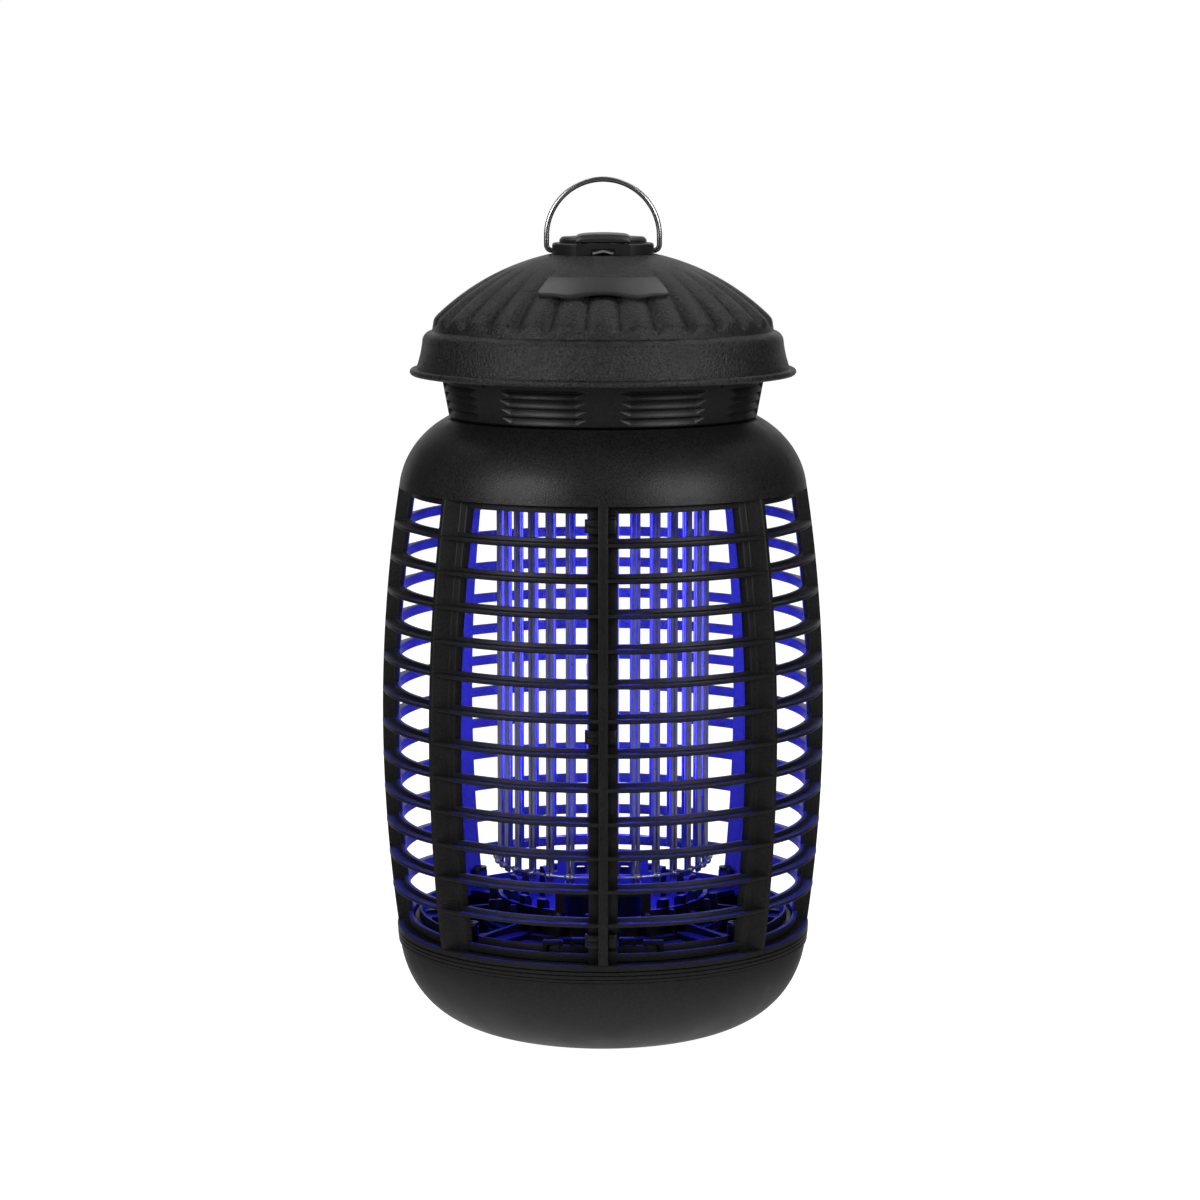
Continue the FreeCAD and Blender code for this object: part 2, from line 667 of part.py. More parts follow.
def head_floor():
    """Plate that closes the cap and carries the driver board."""
    z = HEAD_FLOOR_Z
    plate = cylinder(63.6, V(0, 0, z), HEAD_FLOOR_THICK)
    low = z + HEAD_FLOOR_THICK - 0.1
    standoffs = [cylinder(2.6, V(x, y, low), BOARD_Z - low) for x, y in board_hole_places()]
    cable_hole = cylinder(7.0, V(0, 40, z - 1), 4)
    holes = [screw_hole(lifted(p, z - 1), 1, 4) for p in head_screw_places()]
    vents = [box(-16, 16, y - 1, y + 1, z - 1, z + 3) for y in (-42, -36, -30)]
    return union([plate] + standoffs).cut(Part.makeCompound([cable_hole] + holes + vents))


def head_screws():
    length = HEAD_SCREW_TIP - COLLAR_TOP + 0.05
    return [screw(lifted(p, HEAD_SCREW_TIP), -1, length, 2.3, 1.6) for p in head_screw_places()]


# ---------------------------------------------------------------- electronics in the cap
def board_hole_places():
    x, y = BOARD_HOLES
    return [(sx * x, sy * y) for sx in (-1, 1) for sy in (-1, 1)]


def driver_board():
    board = box(-34, 34, -24, 24, BOARD_Z, BOARD_Z + BOARD_THICK)
    holes = [cylinder(1.6, V(x, y, BOARD_Z - 1), 4) for x, y in board_hole_places()]
    return board.cut(Part.makeCompound(holes))


def driver_transformer():
    z = BOARD_Z + BOARD_THICK
    core = box(-22, -2, -9, 9, z, z + 4)
    cap = box(-22, -2, -9, 9, z + 11, z + 15)
    legs = [box(x, x + 4, -9, 9, z + 3.9, z + 11.1) for x in (-22, -6)]
    coil = cylinder(5.4, V(-12, 0, z + 3.9), 7.2)
    return union([core, cap, coil] + legs)


def driver_capacitors():
    z = BOARD_Z + BOARD_THICK
    places = ((10, -10, 5.0, 13.0), (10, 4, 5.0, 13.0), (24, -8, 3.2, 9.0), (24, 4, 3.2, 9.0))
    cans = []
    for x, y, radius, height in places:
        cans.append(union([cylinder(radius, V(x, y, z), height),
                           cylinder(radius * 0.8, V(x, y, z + height - 0.1), 0.5)]))
    return cans


# ---------------------------------------------------------------- hub and bail
def hanger_hub():
    low = dome_z(0.0) + 0.05
    edge_z = DOME_CENTRE_Z + math.sqrt((DOME_SPHERE + 0.05) ** 2 - 19.6 ** 2)
    middle_z = DOME_CENTRE_Z + math.sqrt((DOME_SPHERE + 0.05) ** 2 - 100.0)
    edges = [
        arc((0, low), (10, middle_z), (19.6, edge_z)),
        line((19.6, edge_z), (19.6, edge_z + 0.6)),
        arc((19.6, edge_z + 0.6), (18.7, edge_z + 1.1), (HUB_RADIUS, edge_z + 2.2)),
        line((HUB_RADIUS, edge_z + 2.2), (HUB_RADIUS, HUB_TOP - 0.9)),
        arc((HUB_RADIUS, HUB_TOP - 0.9), (HUB_RADIUS - 0.27, HUB_TOP - 0.27), (HUB_RADIUS - 0.9, HUB_TOP)),
        line((HUB_RADIUS - 0.9, HUB_TOP), (TIER_RADIUS, HUB_TOP)),
        line((TIER_RADIUS, HUB_TOP), (TIER_RADIUS - 0.1, TIER_TOP - 0.8)),
        line((TIER_RADIUS - 0.1, TIER_TOP - 0.8), (TIER_RADIUS - 1.0, TIER_TOP)),
        line((TIER_RADIUS - 1.0, TIER_TOP), (0, TIER_TOP)),
        line((0, TIER_TOP), (0, low)),
    ]
    body = spin_edges(edges)
    cuts = []
    for side in (-1, 1):
        y0, y1 = sorted((side * 15.4, side * 21))
        cuts.append(box(-NOTCH_HALF, NOTCH_HALF, y0, y1, edge_z + 0.9, HUB_TOP + 1))
        cuts.append(cylinder(BAIL_WIRE + PIVOT_CLEARANCE, V(side * 12.0, 0, BAIL_PIVOT_Z), 12, V(side, 0, 0)))
    cuts.append(box(-NOTCH_HALF, NOTCH_HALF, -20, 20, HUB_TOP + 0.5, TIER_TOP + 2))
    cuts.append(box(-4.2, 4.2, -20, -14.2, 281.0, 283.2))
    cuts += [screw_hole(V(x, 0, 275), 1, 9.0) for x in (-HUB_SCREW_X, HUB_SCREW_X)]
    return body.cut(Part.makeCompound(cuts))


def hub_strap():
    """Crowned strap seated in the channel across the hub."""
    half, y = NOTCH_HALF - 0.1, 15.4
    base = HUB_TOP + 0.55
    edges = [
        Part.LineSegment(V(-half, -y, base), V(half, -y, base)).toShape(),
        Part.LineSegment(V(half, -y, base), V(half, -y, STRAP_TOP - 0.7)).toShape(),
        Part.Arc(V(half, -y, STRAP_TOP - 0.7), V(0, -y, STRAP_TOP), V(-half, -y, STRAP_TOP - 0.7)).toShape(),
        Part.LineSegment(V(-half, -y, STRAP_TOP - 0.7), V(-half, -y, base)).toShape(),
    ]
    strap = Part.Face(Part.Wire(edges)).extrude(V(0, 2 * y, 0))
    undercut = [box(-6.8, 6.8, -y - 1, -y + 1.2, base - 1, base + 0.9),
                box(-6.8, 6.8, y - 1.2, y + 1, base - 1, base + 0.9)]
    return strap.cut(Part.makeCompound(undercut)).common(cylinder(16.4, V(0, 0, 280), 20))


def hub_clip():
    """Wavy spring-steel clip in the hub's front notch."""
    count, half, thick = 9, 3.7, 0.35
    top = []
    for i in range(count):
        x = -half + 2 * half * i / (count - 1)
        top.append((x, 282.1 + 0.35 * math.cos(math.pi * x / half)))
    upper = Part.BSplineCurve()
    upper.interpolate([V(x, -17.6, z + thick) for x, z in top])
    lower = Part.BSplineCurve()
    lower.interpolate([V(x, -17.6, z - thick) for x, z in top[::-1]])
    a, b = V(half, -17.6, top[-1][1] + thick), V(half, -17.6, top[-1][1] - thick)
    c, d = V(-half, -17.6, top[0][1] - thick), V(-half, -17.6, top[0][1] + thick)
    edges = [upper.toShape(), Part.LineSegment(a, b).toShape(), lower.toShape(),
             Part.LineSegment(c, d).toShape()]
    return Part.Face(Part.Wire(edges)).extrude(V(0, 3.2, 0))


def hub_screws():
    return [screw(V(x, 0, 283.6), -1, 283.6 - 277.4, 2.6, 1.6) for x in (-HUB_SCREW_X, HUB_SCREW_X)]


def bail():
    """Half-round wire loop with straight legs and two inward pivot ends."""
    bend = 2.0
    centre_z = BAIL_TOP - BAIL_HALF
    foot = BAIL_PIVOT_Z + bend
    inner = BAIL_HALF - bend
    c = bend * (1 - math.sqrt(0.5))
    edges = [
        Part.LineSegment(V(-14.0, 0, BAIL_PIVOT_Z), V(-inner, 0, BAIL_PIVOT_Z)).toShape(),
        Part.Arc(V(-inner, 0, BAIL_PIVOT_Z), V(-BAIL_HALF + c, 0, BAIL_PIVOT_Z + c),
                 V(-BAIL_HALF, 0, foot)).toShape(),
        Part.LineSegment(V(-BAIL_HALF, 0, foot), V(-BAIL_HALF, 0, centre_z)).toShape(),
        Part.Arc(V(-BAIL_HALF, 0, centre_z), V(0, 0, BAIL_TOP), V(BAIL_HALF, 0, centre_z)).toShape(),
        Part.LineSegment(V(BAIL_HALF, 0, centre_z), V(BAIL_HALF, 0, foot)).toShape(),
        Part.Arc(V(BAIL_HALF, 0, foot), V(BAIL_HALF - c, 0, BAIL_PIVOT_Z + c),
                 V(inner, 0, BAIL_PIVOT_Z)).toShape(),
        Part.LineSegment(V(inner, 0, BAIL_PIVOT_Z), V(14.0, 0, BAIL_PIVOT_Z)).toShape(),
    ]
    path = Part.Wire(edges)
    profile = Part.Wire(Part.makeCircle(BAIL_WIRE, V(-14.0, 0, BAIL_PIVOT_Z), V(1, 0, 0)))
    return path.makePipeShell([profile], True, False)


# ---------------------------------------------------------------- grid, deck and lamp
def hairpin_azimuth(k):
    return 360.0 / HAIRPINS * (k + 0.5)


def hairpin(k):
    """Two wires joined by a bend above the deck."""
    top = DECK_Z + DECK_THICK + 1.2
    y = -GRID_RADIUS
    edges = [
        Part.LineSegment(V(-GRID_PAIR, y, GRID_BOTTOM), V(-GRID_PAIR, y, top)).toShape(),
        Part.Arc(V(-GRID_PAIR, y, top), V(0, y, top + GRID_PAIR), V(GRID_PAIR, y, top)).toShape(),
        Part.LineSegment(V(GRID_PAIR, y, top), V(GRID_PAIR, y, GRID_BOTTOM)).toShape(),
    ]
    profile = Part.Wire(Part.makeCircle(GRID_WIRE, V(-GRID_PAIR, y, GRID_BOTTOM), Z_AXIS))
    return turned(Part.Wire(edges).makePipeShell([profile], True, False), hairpin_azimuth(k))


def grid_deck():
    disc = cylinder(DECK_RADIUS, V(0, 0, DECK_Z), DECK_THICK)
    holes = []
    for k in range(HAIRPINS):
        for s in (-1, 1):
            hole = cylinder(GRID_WIRE + 0.1, V(s * GRID_PAIR, -GRID_RADIUS, DECK_Z - 1), DECK_THICK + 2)
            holes.append(turned(hole, hairpin_azimuth(k)))
    holes += [screw_hole(lifted(p, DECK_Z - 1), 1, 5) for p in deck_screw_places()]
    holes += [cylinder(1.6, V(x, y, DECK_Z - 1), 5) for x, y in lamp_pin_places()]
    return disc.cut(Part.makeCompound(holes))


def deck_screws():
    return [screw(lifted(p, DECK_Z + 6.2), -1, 6.25, 2.6, 1.6) for p in deck_screw_places()]


def grid_bus_rings():
    z = DECK_Z + DECK_THICK + 0.6
    inner = wire_ring(GRID_RADIUS - GRID_WIRE - RING_WIRE - 0.15, RING_WIRE, z)
    outer = wire_ring(GRID_RADIUS + GRID_WIRE + RING_WIRE + 0.25, RING_WIRE, z)
    return [inner, outer]


def grid_ring_lower():
    return wire_ring(GRID_RADIUS + GRID_WIRE + RING_WIRE + 0.15, RING_WIRE, LOWER_RING_Z)


def lamp_pin_places():
    return [(sx * 3.0, sy * 11.0) for sx in (-1, 1) for sy in (-1, 1)]


def lamp_tubes():
    """Twin tube of ultraviolet glass, one tube in front of the other."""
    low = LAMP_BOTTOM + LAMP_TUBE
    pieces = []
    for y in (-LAMP_SPACING, LAMP_SPACING):
        pieces.append(cylinder(LAMP_TUBE, V(0, y, low), LAMP_TOP - low))
        pieces.append(Part.makeSphere(LAMP_TUBE, V(0, y, low)))
    pieces.append(cylinder(2.6, V(0, -LAMP_SPACING, LAMP_BOTTOM + 9), 2 * LAMP_SPACING, V(0, 1, 0)))
    return union(pieces)


def rounded_block(half_x, half_y, z0, z1, corner):
    block = box(-half_x, half_x, -half_y, half_y, z0, z1)
    upright = [e for e in block.Edges if abs(e.tangentAt(e.FirstParameter).z) > 0.9]
    return block.makeFillet(corner, upright)


def lamp_base():
    body = rounded_block(8.0, 16.5, LAMP_TOP + 0.1, DECK_Z - 0.1, 6.0)
    pins = [cylinder(1.2, V(x, y, DECK_Z - 0.2), 9.0) for x, y in lamp_pin_places()]
    return union([body] + pins)


def lamp_socket():
    z = DECK_Z + DECK_THICK
    body = rounded_block(10.0, 19.0, z, z + 12.0, 4.0)
    holes = [cylinder(1.3, V(x, y, z - 1), 8.5) for x, y in lamp_pin_places()]
    wire_ways = [cylinder(1.5, V(x, 0, z + 4), 10) for x in (-4, 4)]
    return body.cut(Part.makeCompound(holes + wire_ways))


# ---------------------------------------------------------------- nodes
def build():
    os.makedirs("parts", exist_ok=True)
    seam, flange = seam_column(), seam_flange()
    columns = side_columns()
    right_hoops = right_half_hoops()
    hairpins = [hairpin(k) for k in range(HAIRPINS)]

    export("collection_bowl", collection_bowl())
    export("base_ring", base_ring())
    export("floor_insert", floor_insert())
    export("floor_screws", floor_screws())
    export("cage_right_columns", [seam, mirrored(seam)] + columns)
    export("cage_right_hoops", right_hoops)
    export("cage_left_columns", [flange, mirrored(flange)] + [turned(s, 180) for s in columns])
    export("cage_left_hoops", [turned(s, 180) for s in right_hoops])
    export("shoulder", shoulder())
    export("grid_deck", grid_deck())
    export("deck_screws", deck_screws())
    export("grid_wires_live", hairpins[0::2])
    export("grid_wires_return", hairpins[1::2])
    export("grid_bus_rings", grid_bus_rings())
    export("grid_ring_lower", grid_ring_lower())
    export("lamp_tubes", lamp_tubes())
    export("lamp_base", lamp_base())
    export("lamp_socket", lamp_socket())
    export("collar", collar())
    export("cord_inlet", cord_inlet())
    export("head_floor", head_floor())
    export("head_screws", head_screws())
    export("driver_board", driver_board())
    export("driver_transformer", driver_transformer())
    export("driver_capacitors", driver_capacitors())
    export("dome_cap", dome_cap())
    export("badge_plate", badge_plate())
    export("hanger_hub", hanger_hub())
    export("hub_strap", hub_strap())
    export("hub_clip", hub_clip())
    export("hub_screws", hub_screws())
    export("bail", bail())


build()
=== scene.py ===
import json
import math

import bmesh
import bpy
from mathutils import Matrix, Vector


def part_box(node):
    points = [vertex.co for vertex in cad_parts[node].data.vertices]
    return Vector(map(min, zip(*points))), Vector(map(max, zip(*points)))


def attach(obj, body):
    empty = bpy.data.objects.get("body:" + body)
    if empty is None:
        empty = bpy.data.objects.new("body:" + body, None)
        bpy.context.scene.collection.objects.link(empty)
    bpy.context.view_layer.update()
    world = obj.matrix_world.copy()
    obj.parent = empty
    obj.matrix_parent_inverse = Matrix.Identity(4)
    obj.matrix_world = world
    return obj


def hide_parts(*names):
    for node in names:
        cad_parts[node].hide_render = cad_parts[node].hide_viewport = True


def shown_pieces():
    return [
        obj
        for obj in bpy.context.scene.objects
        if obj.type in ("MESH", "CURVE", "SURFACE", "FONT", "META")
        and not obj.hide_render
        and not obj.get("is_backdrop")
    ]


# Looks of a hanging bug zapper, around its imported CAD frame. +Z up, front towards -Y.
# Shapes are worked out in millimetres and scaled to metres where a mesh is made.
# An azimuth is counted in degrees from the front, turning towards +X.

MM = 0.001

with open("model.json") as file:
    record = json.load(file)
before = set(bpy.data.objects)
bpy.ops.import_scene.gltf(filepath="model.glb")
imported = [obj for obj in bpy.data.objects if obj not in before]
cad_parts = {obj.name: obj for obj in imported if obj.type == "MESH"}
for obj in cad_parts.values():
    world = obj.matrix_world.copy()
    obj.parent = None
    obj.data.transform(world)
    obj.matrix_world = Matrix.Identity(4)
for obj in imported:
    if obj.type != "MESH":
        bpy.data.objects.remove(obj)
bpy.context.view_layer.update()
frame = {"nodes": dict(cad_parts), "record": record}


def box_mm(node):
    low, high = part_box(node)
    return low / MM, high / MM


# ---------------------------------------------------------------- sizes taken from the frame
CAGE_LOW, CAGE_HIGH = box_mm("cage_right_columns")
HOOPS_LOW, HOOPS_HIGH = box_mm("cage_right_hoops")
CAP_LOW = box_mm("dome_cap")[0]
COLLAR_LOW, COLLAR_HIGH = box_mm("collar")
LOWER_RING_LOW, LOWER_RING_HIGH = box_mm("grid_ring_lower")

# Barrel outline of the cage: one arc with its widest point at the belly
BELLY_RADIUS = CAGE_HIGH.x - 0.01
BELLY_Z = 113.3
BARREL_ARC = 549.0

# Cage mouldings
WALL_OUT = 4.2            # depth of the wall's faces inside the barrel outline
WALL_IN = 6.0
OVERLAP = 0.03            # how far joined mouldings run into each other
HOOPS = 12
HOOP_TOP_Z = 185.0
HOOP_PITCH = 11.98
HOOP_HEIGHT = 3.5
FIN_THICK = 1.1
FIN_INSET = 0.05
HOOP_STEPS = 120
TOP_RAIL = 2.5
FOOT_RAIL = 2.9
SLANT = 0.65606           # where the side columns stand, as a share of the barrel radius
FLANGE_HALF = 2.7
RIB_HALF = 0.7
SIDE_FLANGE_HALF = 3.0
SEAM_FLANGE = 5.0
SEAM_RIB = 1.7
LAP = 0.7                 # how far the strip behind the seam rib stands inside the wall
HOOKS = (191.0, 119.1, 46.8)
HOOK_HALF = 2.45
HOOK_REACH = 6.3
POCKET_HALF = 3.9
EDGE = 0.22               # rounding of the moulded edges

# Cap
DOME_SPHERE = 86.5
DOME_CENTRE_Z = 196.6
DOME_EDGE = 59.6
CAP_WALL = 2.4
FLUTES = 30
FLUTE_DEPTH = 2.3
FLUTE_START = 32.0
FLUTE_END = 17.6          # height above the rim where the flutes have run out
HUB_SEAT_RADIUS = 19.2
HUB_SEAT_Z = 279.4

# Grid wires
HAIRPINS = 30
GRID_RADIUS = 37.6
GRID_WIRE = 0.78
LEG_HALF = 0.84           # half spacing of a hairpin's two legs
BEAD_OFFSET = 1.35        # how far outside the grid's own radius the beads sit

# Cage floor
FLOOR_TOP = 40.65
FLOOR_SINK = 0.1          # how far the arches and ribs stand in the floor
FLOOR_RIBS = 24
RIB_NEAR = 39.3
RIB_FAR = 42.6
TALL_RIB = 8.6
SHORT_RIB = 6.2

# Hub and bail
TIER_RADIUS = 15.6
TIER_TOP = 287.1
STRAP_HALF = 9.5
STRAP_END = 15.4
BAIL_WIRE = 0.95
BAIL_HALF = 20.15
BAIL_BEND = 2.0
BAIL_END = 14.0
BAIL_PIVOT_Z = 282.2

# Badge
BADGE_NEAR = 39.0
BADGE_FAR = 49.0
BADGE_HALF = 28.2         # degrees
BADGE_RISE = 1.1
BADGE_ARCH_HALF = 9.5     # degrees

# Collar
COLLAR_BOTTOM_RADIUS = 55.2
COLLAR_SLOPE = 0.185
COLLAR_INSIDE = 52.4
COLLAR_FLANGE = 1.8
RIDGE_PITCH = 3.1
RIDGE_DEPTH = 1.25
RIDGE_COUNT = 5
PANELS = 8
PANEL_HALF = 5.6          # degrees
RIDGE_FADE = 4.0          # length of a groove's pointed end, in degrees

# Lamp and studio. A level of 1 is the white backdrop.
LAMP_BLUE = (0.012, 0.012, 1.0)
LAMP_STRENGTH = 16.0
FLOOR_LEVEL = 1.0
FRONT_LEVEL = 0.02
BACK_LEVEL = 0.95
TOP_LEVEL = 0.10
LOW_LEVEL = 0.8
SIDE_WATTS = 11.0
OVERHEAD_WATTS = 3.0
GLOW_LIGHTS = 5
GLOW_WATTS = 30.0
GLOW_COLOUR = (0.05, 0.05, 1.0)

# Camera, in metres and degrees
CAMERA_PLACE = (-0.001065, -1.2795, 0.3299)
CAMERA_DIP = 7.732
CAMERA_LENS = 107.03


# ---------------------------------------------------------------- mesh helpers
def rounded(points, radius, steps=2):
    """Closed polygon with each corner replaced by a short curve."""
    made = []
    count = len(points)
    for i in range(count):
        before, corner, after = (Vector(points[(i + k) % count]) for k in (-1, 0, 1))
        back, ahead = before - corner, after - corner
        a = corner + back.normalized() * min(radius, back.length * 0.45)
        b = corner + ahead.normalized() * min(radius, ahead.length * 0.45)
        for k in range(steps + 1):
            t = k / steps
            made.append(a * (1 - t) ** 2 + corner * 2 * t * (1 - t) + b * t * t)
    return made


def sweep(sections, closed=False):
    """Shell through sections of equal length. Its ends are capped unless it closes on itself."""
    count = len(sections[0])
    verts = [p for section in sections for p in section]
    faces = []
    for i in range(len(sections) - (0 if closed else 1)):
        a, b = i * count, (i + 1) % len(sections) * count
        for j in range(count):
            k = (j + 1) % count
            faces.append((a + j, a + k, b + k, b + j))
    if not closed:
        faces.append(tuple(reversed(range(count))))
        faces.append(tuple(range(len(verts) - count, len(verts))))
    return verts, faces


def on_azimuth(radius, azimuth, z):
    a = math.radians(azimuth)
    return radius * math.sin(a), -radius * math.cos(a), z


def lathe(profile, count=180, warp=None):
    """Shell of an (r, z) profile spun about the axis. It closes on itself unless it ends on the axis."""
    verts, rows, faces = [], [], []
    for i, (r, z) in enumerate(profile):
        if r == 0:
            rows.append([len(verts)] * count)
            verts.append((0, 0, z))
            continue
        rows.append(list(range(len(verts), len(verts) + count)))
        for j in range(count):
            azimuth = 360.0 * j / count
            dr, dz = warp(i, azimuth) if warp else (0, 0)
            verts.append(on_azimuth(r + dr, azimuth, z + dz))
    closes = profile[0][0] > 0
    for i in range(len(rows) - (0 if closes else 1)):
        a, b = rows[i], rows[(i + 1) % len(rows)]
        for j in range(count):
            k = (j + 1) % count
            face = [a[j], a[k], b[k], b[j]]
            faces.append(tuple(dict.fromkeys(face)))
    return verts, faces


def arc_points(a, middle, b, steps):
    """Points of the circle arc through three (r, z) points, both ends included."""
    (ax, ay), (bx, by), (cx, cy) = a, middle, b
    d = 2 * (ax * (by - cy) + bx * (cy - ay) + cx * (ay - by))
    ux = ((ax**2 + ay**2) * (by - cy) + (bx**2 + by**2) * (cy - ay) + (cx**2 + cy**2) * (ay - by)) / d
    uy = ((ax**2 + ay**2) * (cx - bx) + (bx**2 + by**2) * (ax - cx) + (cx**2 + cy**2) * (bx - ax)) / d
    radius = math.hypot(ax - ux, ay - uy)
    start = math.atan2(ay - uy, ax - ux)
    turn = (math.atan2(cy - uy, cx - ux) - start) % (2 * math.pi)
    if (math.atan2(by - uy, bx - ux) - start) % (2 * math.pi) > turn:
        turn -= 2 * math.pi
    angles = [start + turn * k / steps for k in range(steps + 1)]
    return [(ux + radius * math.cos(t), uy + radius * math.sin(t)) for t in angles]


def piece(name, shells, look, body, stands_for=(), sharp=32.0):
    """One mesh piece made of closed shells given in millimetres."""
    verts, faces = [], []
    for shell_verts, shell_faces in shells:
        start = len(verts)
        verts += [Vector(v) * MM for v in shell_verts]
        faces += [[start + i for i in face] for face in shell_faces]
    mesh = bpy.data.meshes.new(name)
    mesh.from_pydata(verts, [], faces)
    bm = bmesh.new()
    bm.from_mesh(mesh)
    bmesh.ops.recalc_face_normals(bm, faces=bm.faces)
    bm.to_mesh(mesh)
    bm.free()
    mesh.shade_smooth()
    mesh.set_sharp_from_angle(angle=math.radians(sharp))
    obj = bpy.data.objects.new(name, mesh)
    bpy.context.scene.collection.objects.link(obj)
    mesh.materials.append(LOOKS[look])
    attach(obj, body)
    if stands_for:
        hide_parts(*stands_for)
    return obj


# ---------------------------------------------------------------- materials
def new_look(name, roughness, metallic=0.0, specular=0.5):
    look = bpy.data.materials.new(name)
    look.use_nodes = True
    nodes = look.node_tree.nodes
    shader = nodes["Principled BSDF"]
    shader.inputs["Roughness"].default_value = roughness
    shader.inputs["Metallic"].default_value = metallic
    shader.inputs["Specular IOR Level"].default_value = specular
    return look, nodes, look.node_tree.links, shader


def noise_node(nodes, links, size_mm, detail=3.0):
    """Noise whose features are about size_mm across, in the object's own metres."""
    place = nodes.new("ShaderNodeTexCoord")
    noise = nodes.new("ShaderNodeTexNoise")
    noise.inputs["Scale"].default_value = 1.0 / (size_mm * MM)
    noise.inputs["Detail"].default_value = detail
    links.new(place.outputs["Object"], noise.inputs["Vector"])
    return noise


def vary(nodes, links, source, low, high, target):
    """Sends a noise's value, stretched between low and high, to a number socket."""
    span = nodes.new("ShaderNodeMapRange")
    span.inputs["From Min"].default_value = 0.3
    span.inputs["From Max"].default_value = 0.7
    span.inputs["To Min"].default_value = low
    span.inputs["To Max"].default_value = high
    links.new(source.outputs["Fac"], span.inputs["Value"])
    links.new(span.outputs["Result"], target)


def vary_colour(nodes, links, source, dark, light, target):
    ramp = nodes.new("ShaderNodeValToRGB")
    ramp.color_ramp.elements[0].position = 0.32
    ramp.color_ramp.elements[1].position = 0.68
    ramp.color_ramp.elements[0].color = (*dark, 1.0)
    ramp.color_ramp.elements[1].color = (*light, 1.0)
    links.new(source.outputs["Fac"], ramp.inputs["Fac"])
    links.new(ramp.outputs["Color"], target)


def bump(nodes, links, source, depth_mm, shader):
    relief = nodes.new("ShaderNodeBump")
    relief.inputs["Strength"].default_value = 1.0
    relief.inputs["Distance"].default_value = depth_mm * MM
    links.new(source.outputs["Fac"], relief.inputs["Height"])
    links.new(relief.outputs["Normal"], shader.inputs["Normal"])


def plastic(name, dark, light, roughness, grain_mm, depth_mm, specular=0.5):
    """Moulded plastic: a spark-eroded grain, with slow changes of gloss."""
    look, nodes, links, shader = new_look(name, roughness, specular=specular)
    grain = noise_node(nodes, links, grain_mm)
    patches = noise_node(nodes, links, 14.0)
    vary_colour(nodes, links, grain, dark, light, shader.inputs["Base Color"])
    vary(nodes, links, patches, roughness - 0.05, roughness + 0.06, shader.inputs["Roughness"])
    bump(nodes, links, grain, depth_mm, shader)
    return look


def metal(name, dark, light, roughness, grain_mm=0.5, depth_mm=0.01):
    look, nodes, links, shader = new_look(name, roughness, metallic=1.0)
    grain = noise_node(nodes, links, grain_mm)
    patches = noise_node(nodes, links, 5.0)
    vary_colour(nodes, links, patches, dark, light, shader.inputs["Base Color"])
    vary(nodes, links, grain, roughness * 0.8, roughness * 1.25, shader.inputs["Roughness"])
    bump(nodes, links, grain, depth_mm, shader)
    return look


def glowing_glass(name, colour, strength):
    """Phosphor-coated ultraviolet tube, a little uneven in its glow."""
    look, nodes, links, shader = new_look(name, 0.25)
    shader.inputs["Emission Strength"].default_value = strength
    shader.inputs["Base Color"].default_value = (0.5, 0.5, 0.6, 1.0)
    patches = noise_node(nodes, links, 9.0)
    dim = tuple(c * 0.85 for c in colour)
    vary_colour(nodes, links, patches, dim, colour, shader.inputs["Emission Color"])
    return look


# Slot: darkest and lightest colour, roughness, grain size and depth in mm, and specular level.
# A row that stops early takes the rest from the function that makes the look.
PLASTICS = {
    "foot_black": ((0.0030, 0.0030, 0.0031), (0.0105, 0.0105, 0.0108), 0.44, 0.50, 0.040, 0.28),
    # insert_black's extra blue is a painted blue cast: it stands in for the lamp's blue light on the cage
    # floor, over a near-black plastic.
    "insert_black": ((0.0015, 0.0015, 0.0026), (0.0026, 0.0026, 0.0046), 0.42, 0.5, 0.010, 0.22),
    "cage_black": ((0.0018, 0.0018, 0.0019), (0.0105, 0.0105, 0.0108), 0.44, 0.50, 0.060, 0.28),
    "shoulder_black": ((0.0015, 0.0015, 0.0016), (0.0140, 0.0140, 0.0144), 0.42, 0.60, 0.090, 0.28),
    "collar_black": ((0.0025, 0.0025, 0.0026), (0.0085, 0.0085, 0.0088), 0.42, 0.50, 0.040, 0.28),
    "cap_black": ((0.0002, 0.0002, 0.0002), (0.0200, 0.0200, 0.0206), 0.42, 0.80, 0.45, 0.30),
    "badge_grey": ((0.018, 0.018, 0.0185), (0.023, 0.023, 0.0236), 0.36, 0.25, 0.004, 0.35),
    "hub_black": ((0.0080, 0.0080, 0.0083), (0.0120, 0.0120, 0.0125), 0.40, 0.30, 0.006, 0.32),
    "lamp_white": ((0.66, 0.66, 0.64), (0.74, 0.74, 0.72), 0.40, 0.5, 0.006),
    "board_green": ((0.020, 0.110, 0.040), (0.030, 0.150, 0.060), 0.35, 1.5, 0.020),
    "transformer_core": ((0.06, 0.045, 0.03), (0.12, 0.09, 0.055), 0.55, 1.2, 0.030),
    "capacitor_sleeve": ((0.020, 0.030, 0.085), (0.030, 0.045, 0.12), 0.22, 1.0, 0.006),
    "bush_rubber": ((0.010, 0.010, 0.010), (0.016, 0.016, 0.016), 0.70, 0.6, 0.020),
}

# Slot: darkest and lightest colour, roughness, and grain size and depth in mm
METALS = {
    "screw_steel": ((0.10, 0.10, 0.102), (0.16, 0.16, 0.163), 0.34),
    "grid_steel": ((0.42, 0.42, 0.43), (0.52, 0.52, 0.53), 0.34, 2.5, 0.0004),
    "spring_steel": ((0.78, 0.78, 0.79), (0.90, 0.90, 0.91), 0.34),
    "bail_steel": ((0.40, 0.40, 0.404), (0.44, 0.44, 0.444), 0.26, 9.0, 0.00005),
}

LOOKS = {slot: plastic(slot, *row) for slot, row in PLASTICS.items()}
LOOKS.update({slot: metal(slot, *row) for slot, row in METALS.items()})
LOOKS["lamp_glass"] = glowing_glass("lamp_glass", LAMP_BLUE, LAMP_STRENGTH)


